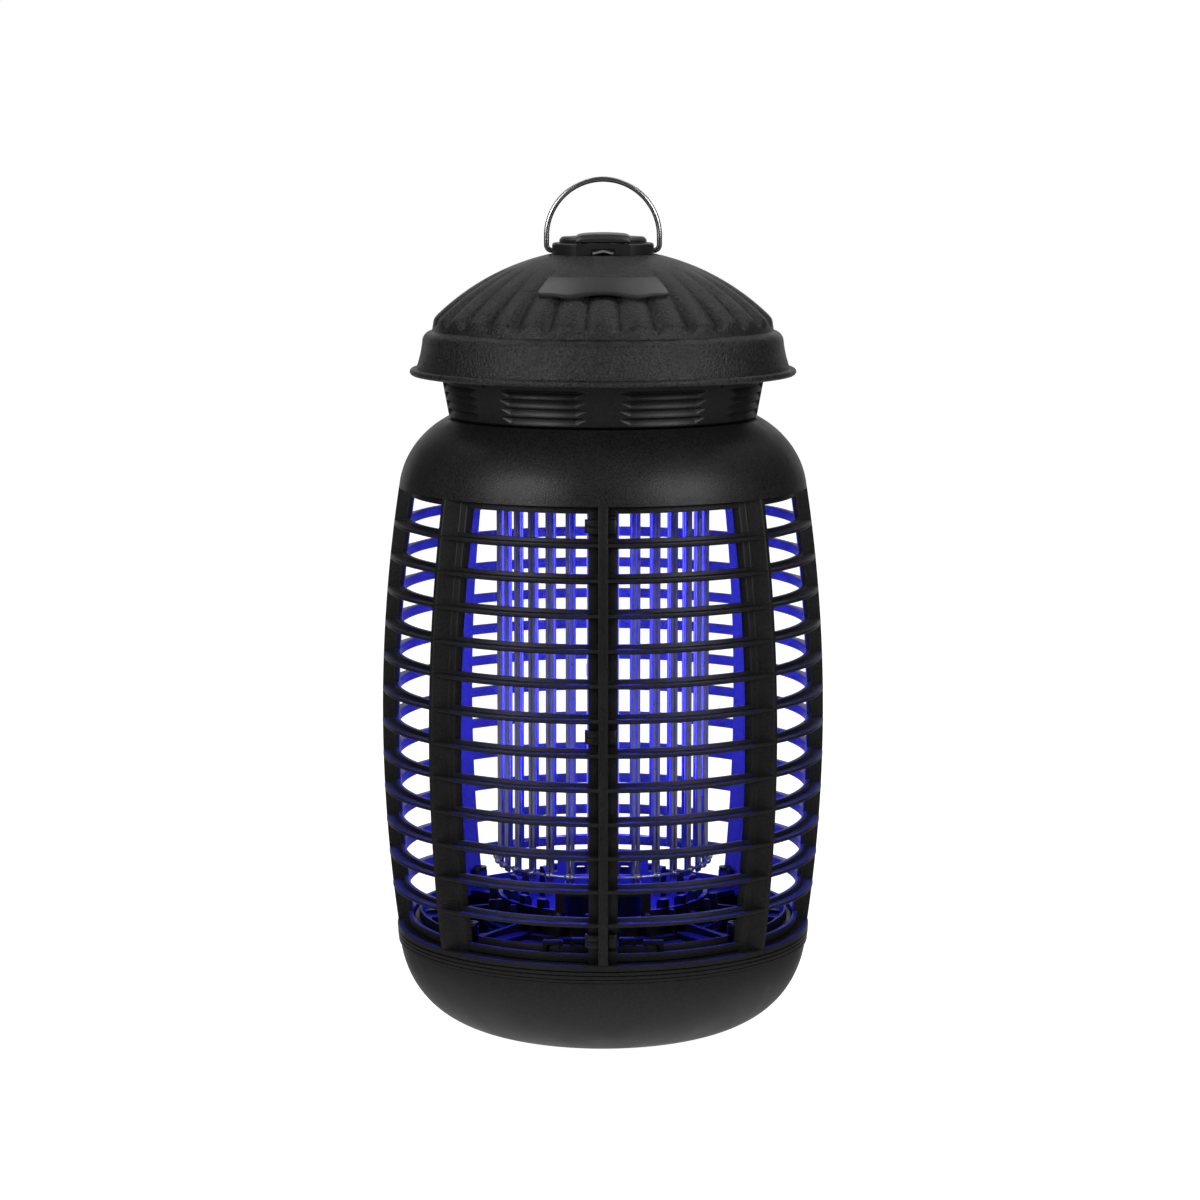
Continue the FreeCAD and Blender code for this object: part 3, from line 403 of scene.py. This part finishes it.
# ---------------------------------------------------------------- cage halves
def barrel_radius(z, depth=0.0):
    """Radius of a surface concentric with the barrel outline, depth inside it."""
    arc = BARREL_ARC - depth
    return BELLY_RADIUS - BARREL_ARC + math.sqrt(arc * arc - (z - BELLY_Z) ** 2)


def hoop_heights():
    return [HOOP_TOP_Z - k * HOOP_PITCH for k in range(HOOPS)]


def hoop(z):
    """Half hoop: a low wall with a thin fin standing out from its middle."""
    wall_in, wall_out = WALL_IN - OVERLAP, WALL_OUT + OVERLAP
    h, t = HOOP_HEIGHT / 2, FIN_THICK / 2
    section = rounded([(wall_in, -h), (wall_out, -h), (wall_out, -t), (FIN_INSET, -t),
                       (FIN_INSET, t), (wall_out, t), (wall_out, h), (wall_in, h)], EDGE)
    radius = barrel_radius(z)
    start = math.degrees(math.asin((SEAM_RIB - 0.5) / radius))
    azimuths = [start + (180 - 2 * start) * k / HOOP_STEPS for k in range(HOOP_STEPS + 1)]
    return sweep([[on_azimuth(radius - d, a, z + dz) for d, dz in section] for a in azimuths])


def rail(z0, z1):
    """Plain band that joins the columns at the top or the foot."""
    wall_in, wall_out = WALL_IN - OVERLAP, WALL_OUT + OVERLAP
    section = rounded([(wall_in, z0), (wall_out, z0), (wall_out, z1), (wall_in, z1)], EDGE)
    azimuths = [1.2 + 177.6 * k / HOOP_STEPS for k in range(HOOP_STEPS + 1)]
    return sweep([[on_azimuth(barrel_radius(z, d), a, z) for d, z in section] for a in azimuths])


def column(section, place, z0, z1, steps=64):
    """Upright moulding: a section of (offset, depth) points placed at each height by place()."""
    heights = [z0 + (z1 - z0) * k / steps for k in range(steps + 1)]
    return sweep([[place(offset, depth, z) for offset, depth in section] for z in heights])


def t_section(flange, rib):
    return rounded([(-flange, WALL_IN), (-flange, WALL_OUT), (-rib, WALL_OUT), (-rib, 0.0),
                    (rib, 0.0), (rib, WALL_OUT), (flange, WALL_OUT), (flange, WALL_IN)], EDGE)


def across_x(y_sign):
    """Places offsets along X, for the columns at the front (-1) and back (+1)."""
    def place(offset, depth, z):
        return offset, y_sign * math.sqrt(barrel_radius(z, depth) ** 2 - offset * offset), z
    return place


def across_y(share):
    """Places offsets along Y from a line at that share of the barrel radius, on the +X side."""
    def place(offset, depth, z):
        y = share * barrel_radius(z) + offset
        return math.sqrt(barrel_radius(z, depth) ** 2 - y * y), y, z
    return place


def upright(x0, x1, d0, d1, z0, z1, y_sign, edge=0.3):
    """Rounded upright block on the front or back seam, between depths d0 and d1."""
    section = rounded([(x0, d1), (x0, d0), (x1, d0), (x1, d1)], edge, 3)
    rows = [(z0, 0.25), (z0 + 0.12, 0.07), (z0 + 0.3, 0.0), (z1 - 0.3, 0.0), (z1 - 0.12, 0.07), (z1, 0.25)]
    middle, depth = (x0 + x1) / 2, (d0 + d1) / 2
    place = across_x(y_sign)
    sections = []
    for z, draw_in in rows:
        shrunk = [(x + math.copysign(min(draw_in, abs(middle - x)), middle - x),
                   d + math.copysign(min(draw_in, abs(depth - d)), depth - d)) for x, d in section]
        sections.append([place(x, d, z) for x, d in shrunk])
    return sweep(sections)


def seam_hooks(y_sign):
    """Snap hooks over the other half's flange, each with its barb, pocket block and pocket back."""
    shells = []
    arm = (-HOOK_REACH + 0.75, -SEAM_RIB + 0.3)
    arm_back = WALL_OUT - 0.1
    pocket = POCKET_HALF + 0.2
    for z in HOOKS:
        low, high = z - HOOK_HALF, z + HOOK_HALF
        shells.append(upright(*arm, 2.2, arm_back, low, z - 0.12, y_sign))
        shells.append(upright(*arm, 2.2, arm_back, z + 0.12, high, y_sign))
        shells.append(upright(*arm, 2.6, arm_back, low + 0.2, high - 0.2, y_sign))
        shells.append(upright(-HOOK_REACH, -HOOK_REACH + 0.9, 2.9, WALL_IN, low + 0.1, high - 0.1, y_sign))
        shells.append(upright(SEAM_RIB - 0.3, SEAM_FLANGE - 0.15, 3.3, 5.2, low, high, y_sign, 0.9))
        shells.append(upright(SEAM_RIB - 0.3, SEAM_FLANGE - 0.1, 5.4, WALL_IN, z - pocket, z + pocket,
                              y_sign, 0.1))
    return shells


def pocketed_flange(y_sign):
    """Flange beside the seam rib, broken by the hooks' pockets."""
    section = rounded([(SEAM_RIB - 0.2, WALL_IN), (SEAM_RIB - 0.2, WALL_OUT), (SEAM_FLANGE, WALL_OUT),
                       (SEAM_FLANGE, WALL_IN)], EDGE)
    pockets = [z for hook in HOOKS for z in (hook + POCKET_HALF, hook - POCKET_HALF)]
    breaks = [CAGE_HIGH.z] + pockets + [CAGE_LOW.z]
    return [column(section, across_x(y_sign), breaks[k + 1], breaks[k], 24) for k in range(0, len(breaks), 2)]


def cage_half(name, side):
    """One cage half. side is +1 for the right half, which carries the seam ribs and hooks."""
    z0, z1 = CAGE_LOW.z, CAGE_HIGH.z
    shells = [hoop(z) for z in hoop_heights()]
    shells += [rail(HOOPS_HIGH.z - TOP_RAIL, HOOPS_HIGH.z), rail(HOOPS_LOW.z, HOOPS_LOW.z + FOOT_RAIL)]
    shells.append(column(t_section(SIDE_FLANGE_HALF, RIB_HALF), across_y(0.0), z0, z1))
    shells += [column(t_section(FLANGE_HALF, RIB_HALF), across_y(s * SLANT), z0, z1) for s in (-1, 1)]
    if side > 0:
        rib = rounded([(-SEAM_RIB, WALL_IN), (-SEAM_RIB, 0.0), (SEAM_RIB, 0.0), (SEAM_RIB, WALL_IN)], EDGE)
        for s in (-1, 1):
            shells.append(column(rib, across_x(s), z0, z1))
            shells += pocketed_flange(s) + seam_hooks(s)
    else:
        lap_in, lap_out, rib_side = WALL_IN + LAP, WALL_IN + 0.1, SEAM_RIB + 0.05
        flange = rounded([(rib_side, lap_out), (rib_side, WALL_OUT), (SEAM_FLANGE, WALL_OUT),
                          (SEAM_FLANGE, WALL_IN), (SEAM_FLANGE - 0.8, lap_in), (0.2, lap_in),
                          (0.2, lap_out)], 0.05)
        shells += [column(flange, across_x(s), z0, z1) for s in (-1, 1)]
        shells = [([(-x, y, z) for x, y, z in verts], faces) for verts, faces in shells]
    prefix = "cage_right" if side > 0 else "cage_left"
    return piece(name, shells, "cage_black", "lantern", (prefix + "_columns", prefix + "_hoops"))


# ---------------------------------------------------------------- cap and collar
def dome_z(r, inset=0.0):
    return DOME_CENTRE_Z + math.sqrt((DOME_SPHERE - inset) ** 2 - r * r)


def flute(r, z, azimuth):
    """Depth of the valleys between the flutes: convex lobes that deepen towards the step."""
    if r <= FLUTE_START:
        return 0.0
    reach = min(1.0, (r - FLUTE_START) / (DOME_EDGE - FLUTE_START))
    run_out = min(1.0, max(0.0, (z - CAP_LOW.z - FLUTE_END) / 3.0))
    phase = (azimuth * FLUTES / 360.0 + 0.5) % 1.0 - 0.5
    return FLUTE_DEPTH * reach ** 1.2 * run_out * abs(2 * phase) ** 2.4


def badge_arch(azimuth):
    """Hollow under the middle of the badge's lower edge, from 0 to 1."""
    return max(0.0, 1 - (azimuth / BADGE_ARCH_HALF) ** 2)


def dome_cap():
    """Cap: fluted dome over a stepped skirt with a rolled rim."""
    low = CAP_LOW.z
    seat = HUB_SEAT_RADIUS
    span = DOME_EDGE - seat - 0.2
    crown = [(0.0, HUB_SEAT_Z), (seat, HUB_SEAT_Z), (seat, dome_z(seat) - 0.15)]
    crown += [(seat + 0.2 + span * k / 60, dome_z(seat + 0.2 + span * k / 60)) for k in range(61)]
    edge = [(60.15, low + 20.72), (60.5, low + 20.1), (60.75, low + 19.3), (60.87, low + 18.3),
            (60.95, low + 17.4)]
    step = [(61.1, low + 16.4), (61.2, low + 16.0), (61.6, low + 15.75), (62.3, low + 15.5)]
    skirt = arc_points((62.3, low + 15.5), (63.9, low + 14.3), (64.7, low + 12.2), 6)[1:]
    skirt += arc_points((64.7, low + 12.2), (65.45, low + 7.6), (66.8, low + 2.9), 12)[1:]
    rim = [(66.85, low + 2.55), (67.0, low + 2.35), (67.4, low + 2.35)]
    rim += arc_points((68.1, low + 2.4), (69.3, low + 1.2), (68.1, low), 8)
    inside = [(64.2, low), (64.2, low + 4.0), (62.3, low + 11.6), (58.8, low + 15.0), (58.4, low + 18.6),
              (54.5, dome_z(54.5, CAP_WALL)), (40.0, dome_z(40.0, CAP_WALL)), (24.6, HUB_SEAT_Z - CAP_WALL),
              (0.0, HUB_SEAT_Z - CAP_WALL)]
    outer = crown + edge
    profile = outer + step + skirt + rim + inside

    def warp(i, azimuth):
        r, z = profile[i]
        if not 3 <= i < len(outer):
            return 0.0, 0.0
        depth = flute(r, z, azimuth)
        turn = (azimuth + 180.0) % 360.0 - 180.0
        if BADGE_FAR - 3.5 < r < BADGE_FAR + 1.2:
            depth += 1.5 * badge_arch(turn)
        return -depth * r / DOME_SPHERE, -depth * (z - DOME_CENTRE_Z) / DOME_SPHERE

    return piece("cap", [lathe(profile, FLUTES * 24, warp)], "cap_black", "lantern", ("dome_cap",), sharp=40)


def badge():
    """Blank curved plate, its lower edge lobed and arched over a shallow hollow."""
    across, down, corner = 96, 20, 1.6
    top, under = [], []
    for j in range(down + 1):
        v = j / down
        for i in range(across + 1):
            u = 2 * i / across - 1
            far = BADGE_FAR + 0.9 * math.exp(-((abs(u) * BADGE_HALF - 15.0) / 4.5) ** 2)
            far -= 1.1 * badge_arch(u * BADGE_HALF)
            r = BADGE_NEAR + (far - BADGE_NEAR) * v
            from_end = min(r - BADGE_NEAR, far - r)
            short = 0.0
            if from_end < corner:
                short = corner - math.sqrt(corner ** 2 - (corner - from_end) ** 2)
            azimuth = u * (BADGE_HALF - math.degrees(short / r))
            eased = min(1.0, min(from_end, (1 - abs(u)) * 23.0) / 0.35)
            rise = BADGE_RISE - 0.3 * (1 - eased) ** 2
            for level, rows in ((rise, top), (0.02, under)):
                k = (DOME_SPHERE + level) / DOME_SPHERE
                rows.append(on_azimuth(r * k, azimuth, DOME_CENTRE_Z + (dome_z(r) - DOME_CENTRE_Z) * k))
    verts = top + under
    start, wide = len(top), across + 1
    faces = []
    for j in range(down):
        for i in range(across):
            a = j * wide + i
            faces.append((a, a + 1, a + 1 + wide, a + wide))
            faces.append((start + a, start + a + wide, start + a + 1 + wide, start + a + 1))
    ring = list(range(wide)) + [j * wide + across for j in range(1, down + 1)]
    ring += [down * wide + i for i in range(across - 1, -1, -1)] + [j * wide for j in range(down - 1, 0, -1)]
    for a, b in zip(ring, ring[1:] + ring[:1]):
        faces.append((a, b, start + b, start + a))
    return piece("badge", [(verts, faces)], "badge_grey", "lantern", ("badge_plate",), sharp=40)


def collar_radius(z):
    return COLLAR_BOTTOM_RADIUS + COLLAR_SLOPE * (z - COLLAR_LOW.z)


def collar():
    """Collar: ridges with an undercut below and pointed ends, between plain panels."""
    bottom, flange_top = COLLAR_LOW.z, COLLAR_HIGH.z
    top = flange_top - COLLAR_FLANGE
    flange_radius = COLLAR_HIGH.x
    first = bottom + 0.75
    phases = (0.0, 0.12, 0.26, 0.4, 0.54, 0.66, 0.74, 0.78, 0.86, 0.93, 0.99)
    heights = [first + (k + p) * RIDGE_PITCH for k in range(RIDGE_COUNT) for p in phases]
    notch_top = top - 0.05
    heights = [z for z in heights if z < notch_top - 2.8] + [notch_top - 2.7 + 0.27 * k for k in range(11)]
    face = [(collar_radius(bottom) - 0.8, bottom), (collar_radius(bottom) - 0.25, bottom + 0.3)]
    face += [(collar_radius(z), z) for z in heights]
    profile = face + [(flange_radius, top), (flange_radius, flange_top), (COLLAR_INSIDE, flange_top),
                      (COLLAR_INSIDE, bottom)]

    def warp(i, azimuth):
        if not 2 <= i < len(face):
            return 0.0, 0.0
        z = profile[i][1]
        turn = abs((azimuth + 180.0) % 360.0 - 180.0)
        notch = 1.1 if z > notch_top - 2.6 and min(abs(turn - 46.0), abs(turn - 134.0)) < 0.3 else 0.0
        ridge, phase = divmod((z - first) / RIDGE_PITCH, 1.0)
        if ridge < 0 or ridge >= RIDGE_COUNT - 1:
            return -notch, 0.0
        groove = (phase / 0.76) ** 1.6 if phase < 0.76 else (1 - phase) / 0.24
        span = 360.0 / PANELS
        off = abs((azimuth + span / 2) % span - span / 2) - PANEL_HALF
        fade = min(1.0, max(0.0, off / RIDGE_FADE))
        return -max(RIDGE_DEPTH * max(0.0, groove - (1 - fade)), notch), 0.0

    shells = [lathe(profile, 720, warp)]
    return piece("collar_ridged", shells, "collar_black", "lantern", ("collar",), sharp=30)


# ---------------------------------------------------------------- grid wires and cage floor
def tube_along(path, radius, across, sides=14):
    """Round wire along a path that stays in the plane at right angles to the across direction."""
    sections = []
    for i, point in enumerate(path):
        before, after = path[max(i - 1, 0)], path[min(i + 1, len(path) - 1)]
        side = (after - before).normalized().cross(across)
        turns = [2 * math.pi * k / sides for k in range(sides)]
        sections.append([point + (across * math.cos(t) + side * math.sin(t)) * radius for t in turns])
    return sections


def bead(centre, along, out, sides=14):
    """Small spindle that ties a hairpin to the lower ring."""
    up = Vector((0, 0, 1))
    turns = [2 * math.pi * k / sides for k in range(sides)]
    rings = [(-1.6, 0.5), (-1.2, 0.95), (-0.6, 1.15), (0.0, 1.2), (0.6, 1.15), (1.2, 0.95), (1.6, 0.5)]
    return sweep([[centre + along * shift + (out * math.cos(t) + up * math.sin(t)) * radius for t in turns]
                  for shift, radius in rings])


def tip(point, ring):
    """Narrowed ring just below a wire's cut end."""
    return [point + (p - point) * 0.6 - Vector((0, 0, 0.3)) for p in ring]


def hairpins(name, first, node):
    """Every second hairpin of the grid, from the first, with the bead that ties it to the lower ring."""
    low, high = box_mm(node)
    bend_z = high.z - GRID_WIRE - LEG_HALF
    ring_z = (LOWER_RING_LOW.z + LOWER_RING_HIGH.z) / 2
    bend = [math.pi * k / 10 for k in range(11)]
    shells = []
    for k in range(first, HAIRPINS, 2):
        out = Vector(on_azimuth(1.0, 360.0 / HAIRPINS * (k + 0.5), 0))
        along = Vector((-out.y, out.x, 0))
        centre = out * GRID_RADIUS
        path = [centre - along * LEG_HALF + Vector((0, 0, low.z))]
        for t in bend:
            height = Vector((0, 0, bend_z + LEG_HALF * math.sin(t)))
            path.append(centre - along * LEG_HALF * math.cos(t) + height)
        path.append(centre + along * LEG_HALF + Vector((0, 0, low.z)))
        wire = tube_along(path, GRID_WIRE, out)
        shells.append(sweep([tip(path[0], wire[0])] + wire + [tip(path[-1], wire[-1])]))
        shells.append(bead(out * (GRID_RADIUS + BEAD_OFFSET) + Vector((0, 0, ring_z)), along, out))
    return piece(name, shells, "grid_steel", "lantern", (node,), sharp=50)


def arch(x, half, height, y0, y1, wall=1.3):
    """Upright strap bent into an arch, standing on the cage floor."""
    z = FLOOR_TOP - FLOOR_SINK
    outline = rounded([(-half, 0), (-half, height), (half, height), (half, 0), (half - wall, 0),
                       (half - wall, height - wall), (wall - half, height - wall), (wall - half, 0)], 0.7, 4)
    rows = [(y0, 0.12), (y0 + 0.2, 0.0), (y1 - 0.2, 0.0), (y1, 0.12)]
    return sweep([[(x + px * (1 - inset / half), y, z + pz - inset * pz / height) for px, pz in outline]
                  for y, inset in rows])


def floor_mouldings():
    """Lip, latch arches and stiffening ribs that stand on the cage floor."""
    lip = rounded([(65.9, FLOOR_TOP - 0.4), (67.2, FLOOR_TOP - 0.4), (67.0, 43.7), (66.1, 43.7)], 0.3, 3)
    shells = [lathe([tuple(p) for p in lip], 240)]
    for s in (-1, 1):
        for y0, y1 in ((-65.4, -62.6), (62.6, 65.4)):
            shells.append(arch(s * 17.5, 3.6, 4.8, y0, y1))
            shells.append(arch(s * 8.4, 3.0, 5.6, y0, y1))
    for k in range(FLOOR_RIBS):
        a = math.radians(360.0 / FLOOR_RIBS * (k + 0.5))
        out, along = Vector((math.sin(a), -math.cos(a), 0)), Vector((math.cos(a), math.sin(a), 0))
        height = TALL_RIB if k % 3 else SHORT_RIB
        outline = rounded([(RIB_NEAR, 0), (RIB_FAR, 0), (RIB_FAR - 0.9, height), (RIB_NEAR, height)], 0.5, 3)
        foot = Vector((0, 0, FLOOR_TOP - FLOOR_SINK))
        shells.append(sweep([[out * r + along * side + foot + Vector((0, 0, z)) for r, z in outline]
                             for side in (-0.8, 0.8)]))
    # insert_black carries a painted blue cast of the lamp's light in its base colour.
    return piece("floor_mouldings", shells, "insert_black", "lantern")


# ---------------------------------------------------------------- hub and bail
def strap():
    """Crowned strap whose ends slope down to the hub's front and back."""
    low, high = box_mm("hub_strap")
    rows = [(-STRAP_END, -2.05), (-STRAP_END + 0.15, -1.75), (-STRAP_END + 0.5, -1.45), (-12.6, -0.45),
            (-11.8, -0.16), (-10.8, -0.04), (-9.0, 0.0)]
    rows += [(-y, drop) for y, drop in reversed(rows)]
    across = [-1.0 + 2.0 * k / 24 for k in range(25)]
    sections = []
    for y, drop in rows:
        top = [(u * STRAP_HALF, y, high.z + drop - 0.5 * u * u - 0.5 * abs(u) ** 12) for u in across]
        sections.append([(-STRAP_HALF, y, low.z + 0.1)] + top + [(STRAP_HALF, y, low.z + 0.1)])
    return piece("strap", [sweep(sections)], "hub_black", "lantern", ("hub_strap",), sharp=40)


def tier_bevels():
    """Sloping shoulders of the hub's upper tier, one each side of the strap."""
    near, far = 11.0, TIER_RADIUS + 0.05
    rise = rounded([(near, TIER_TOP - 1.6), (far, TIER_TOP - 1.6), (far, TIER_TOP - 1.1),
                    (13.6, TIER_TOP + 0.05), (near, TIER_TOP + 0.1)], 0.25, 3)
    shells = []
    for start in (40.0, 220.0):
        azimuths = [start + 100.0 * k / 48 for k in range(49)]
        shells.append(sweep([[on_azimuth(r, a, z) for r, z in rise] for a in azimuths]))
    return piece("tier_bevels", shells, "hub_black", "lantern", (), sharp=40)


def bail_loop():
    """Round wire loop: inward pivot ends, straight legs and a half-circle."""
    top = box_mm("bail")[1].z - BAIL_WIRE
    centre_z, foot_z = top - BAIL_HALF, BAIL_PIVOT_Z + BAIL_BEND
    bend_x = BAIL_HALF - BAIL_BEND
    bend = [math.pi / 2 * k / 8 for k in range(9)]
    quarter = [math.pi / 2 * k / 48 for k in range(49)]
    right = [Vector((BAIL_END, 0, BAIL_PIVOT_Z))]
    right += [Vector((bend_x + BAIL_BEND * math.sin(t), 0, foot_z - BAIL_BEND * math.cos(t))) for t in bend]
    right += [Vector((BAIL_HALF * math.cos(t), 0, centre_z + BAIL_HALF * math.sin(t))) for t in quarter]
    path = right + [Vector((-p.x, 0, p.z)) for p in reversed(right[:-1])]
    wire = tube_along(path, BAIL_WIRE, Vector((0, 1, 0)), 24)
    return piece("bail_loop", [sweep(wire)], "bail_steel", "bail", ("bail",), sharp=50)


# ---------------------------------------------------------------- floor, light and camera
def floor():
    mesh = bpy.data.meshes.new("floor")
    mesh.from_pydata([(-4, -4, 0), (4, -4, 0), (4, 4, 0), (-4, 4, 0)], [], [(0, 1, 2, 3)])
    obj = bpy.data.objects.new("floor", mesh)
    bpy.context.scene.collection.objects.link(obj)
    look, nodes, links, shader = new_look("floor_pale", 0.9, specular=0.0)
    grain = noise_node(nodes, links, 2.0)
    vary_colour(nodes, links, grain, (0.38, 0.38, 0.38), (0.42, 0.42, 0.42), shader.inputs["Base Color"])
    shader.inputs["Emission Color"].default_value = (1.0, 1.0, 1.0, 1.0)
    shader.inputs["Emission Strength"].default_value = FLOOR_LEVEL
    mesh.materials.append(look)
    obj.visible_glossy = False
    obj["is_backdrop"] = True


def soft_light(name, place, size, watts):
    """Large rectangular light aimed at the lantern's middle."""
    light = bpy.data.lights.new(name, "AREA")
    light.shape = "RECTANGLE"
    light.size, light.size_y = size
    light.energy = watts
    obj = bpy.data.objects.new(name, light)
    obj.location = place
    obj.rotation_euler = (Vector((0, 0, 0.17)) - Vector(place)).to_track_quat("-Z", "Y").to_euler()
    obj.visible_camera = False
    bpy.context.scene.collection.objects.link(obj)


def ramp_along(nodes, links, value, low, high, level):
    """Smooth rise from 0 to level as a direction's part goes from low to high."""
    rise = nodes.new("ShaderNodeMapRange")
    rise.interpolation_type = "SMOOTHSTEP"
    rise.inputs["From Min"].default_value = low
    rise.inputs["From Max"].default_value = high
    rise.inputs["To Max"].default_value = level
    links.new(value, rise.inputs["Value"])
    return rise.outputs["Result"]


def studio():
    """White room behind and above the lantern, dim in front of it, with two front softboxes."""
    world = bpy.data.worlds.new("studio")
    bpy.context.scene.world = world
    world.use_nodes = True
    nodes, links = world.node_tree.nodes, world.node_tree.links
    background = nodes["Background"]
    background.inputs["Color"].default_value = (1.0, 1.0, 1.0, 1.0)
    place = nodes.new("ShaderNodeTexCoord")
    split = nodes.new("ShaderNodeSeparateXYZ")
    links.new(place.outputs["Generated"], split.inputs["Vector"])
    walls = (("Y", 0.80, 1.0, BACK_LEVEL), ("Z", 0.2, 1.0, TOP_LEVEL), ("Z", -0.15, -0.85, LOW_LEVEL))
    base = None
    for part, low, high, wall_level in walls:
        total = nodes.new("ShaderNodeMath")
        total.operation = "ADD"
        total.inputs[1].default_value = FRONT_LEVEL
        links.new(ramp_along(nodes, links, split.outputs[part], low, high, wall_level), total.inputs[0])
        if base:
            links.new(base.outputs["Value"], total.inputs[1])
        base = total
    path = nodes.new("ShaderNodeLightPath")
    level = nodes.new("ShaderNodeMix")
    links.new(path.outputs["Is Camera Ray"], level.inputs["Factor"])
    links.new(base.outputs["Value"], level.inputs["A"])
    level.inputs["B"].default_value = 1.0
    links.new(level.outputs["Result"], background.inputs["Strength"])
    for side in (-1, 1):
        soft_light("softbox_%d" % side, (side * 0.95, -0.88, 0.72), (0.45, 0.6), SIDE_WATTS)
        soft_light("overhead_%d" % side, (side * 0.50, 0.55, 1.35), (0.6, 0.6), OVERHEAD_WATTS)


def lamp_glow():
    """Blue light that the tubes throw on the inside of the lantern."""
    lit = bpy.data.collections.new("lit_by_lamp")
    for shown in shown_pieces():
        lit.objects.link(shown)
    low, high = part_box("lamp_tubes")
    for k in range(GLOW_LIGHTS):
        light = bpy.data.lights.new("glow_%d" % k, "POINT")
        light.color = GLOW_COLOUR
        light.energy = GLOW_WATTS / GLOW_LIGHTS
        light.shadow_soft_size = 0.012
        obj = bpy.data.objects.new("glow_%d" % k, light)
        obj.location = (0, 0, low.z + (high.z - low.z) * (k + 0.5) / GLOW_LIGHTS)
        obj.visible_glossy = False
        obj.visible_camera = False
        obj.light_linking.receiver_collection = lit
        bpy.context.scene.collection.objects.link(obj)
    tubes = frame["nodes"]["lamp_tubes"]
    tubes.visible_shadow = False
    tubes.light_linking.receiver_collection = lit


def camera():
    data = bpy.data.cameras.new("camera")
    data.lens = CAMERA_LENS
    data.sensor_width = 36.0
    data.clip_start, data.clip_end = 0.05, 50.0
    obj = bpy.data.objects.new("camera", data)
    obj.location = CAMERA_PLACE
    obj.rotation_euler = (math.radians(90 - CAMERA_DIP), 0, 0)
    bpy.context.scene.collection.objects.link(obj)
    bpy.context.scene.camera = obj


# ---------------------------------------------------------------- the object
for node, obj in frame["nodes"].items():
    slot = next(row["material_slot"] for row in frame["record"]["subparts"] if row["node"] == node)
    obj.data.materials.clear()
    obj.data.materials.append(LOOKS[slot])

cage_half("cage_half_right", 1)
cage_half("cage_half_left", -1)
dome_cap()
badge()
collar()
hairpins("hairpins_live", 0, "grid_wires_live")
hairpins("hairpins_return", 1, "grid_wires_return")
floor_mouldings()
strap()
tier_bevels()
bail_loop()

floor()
studio()
camera()
lamp_glow()
bpy.context.scene.view_settings.view_transform = "Standard"
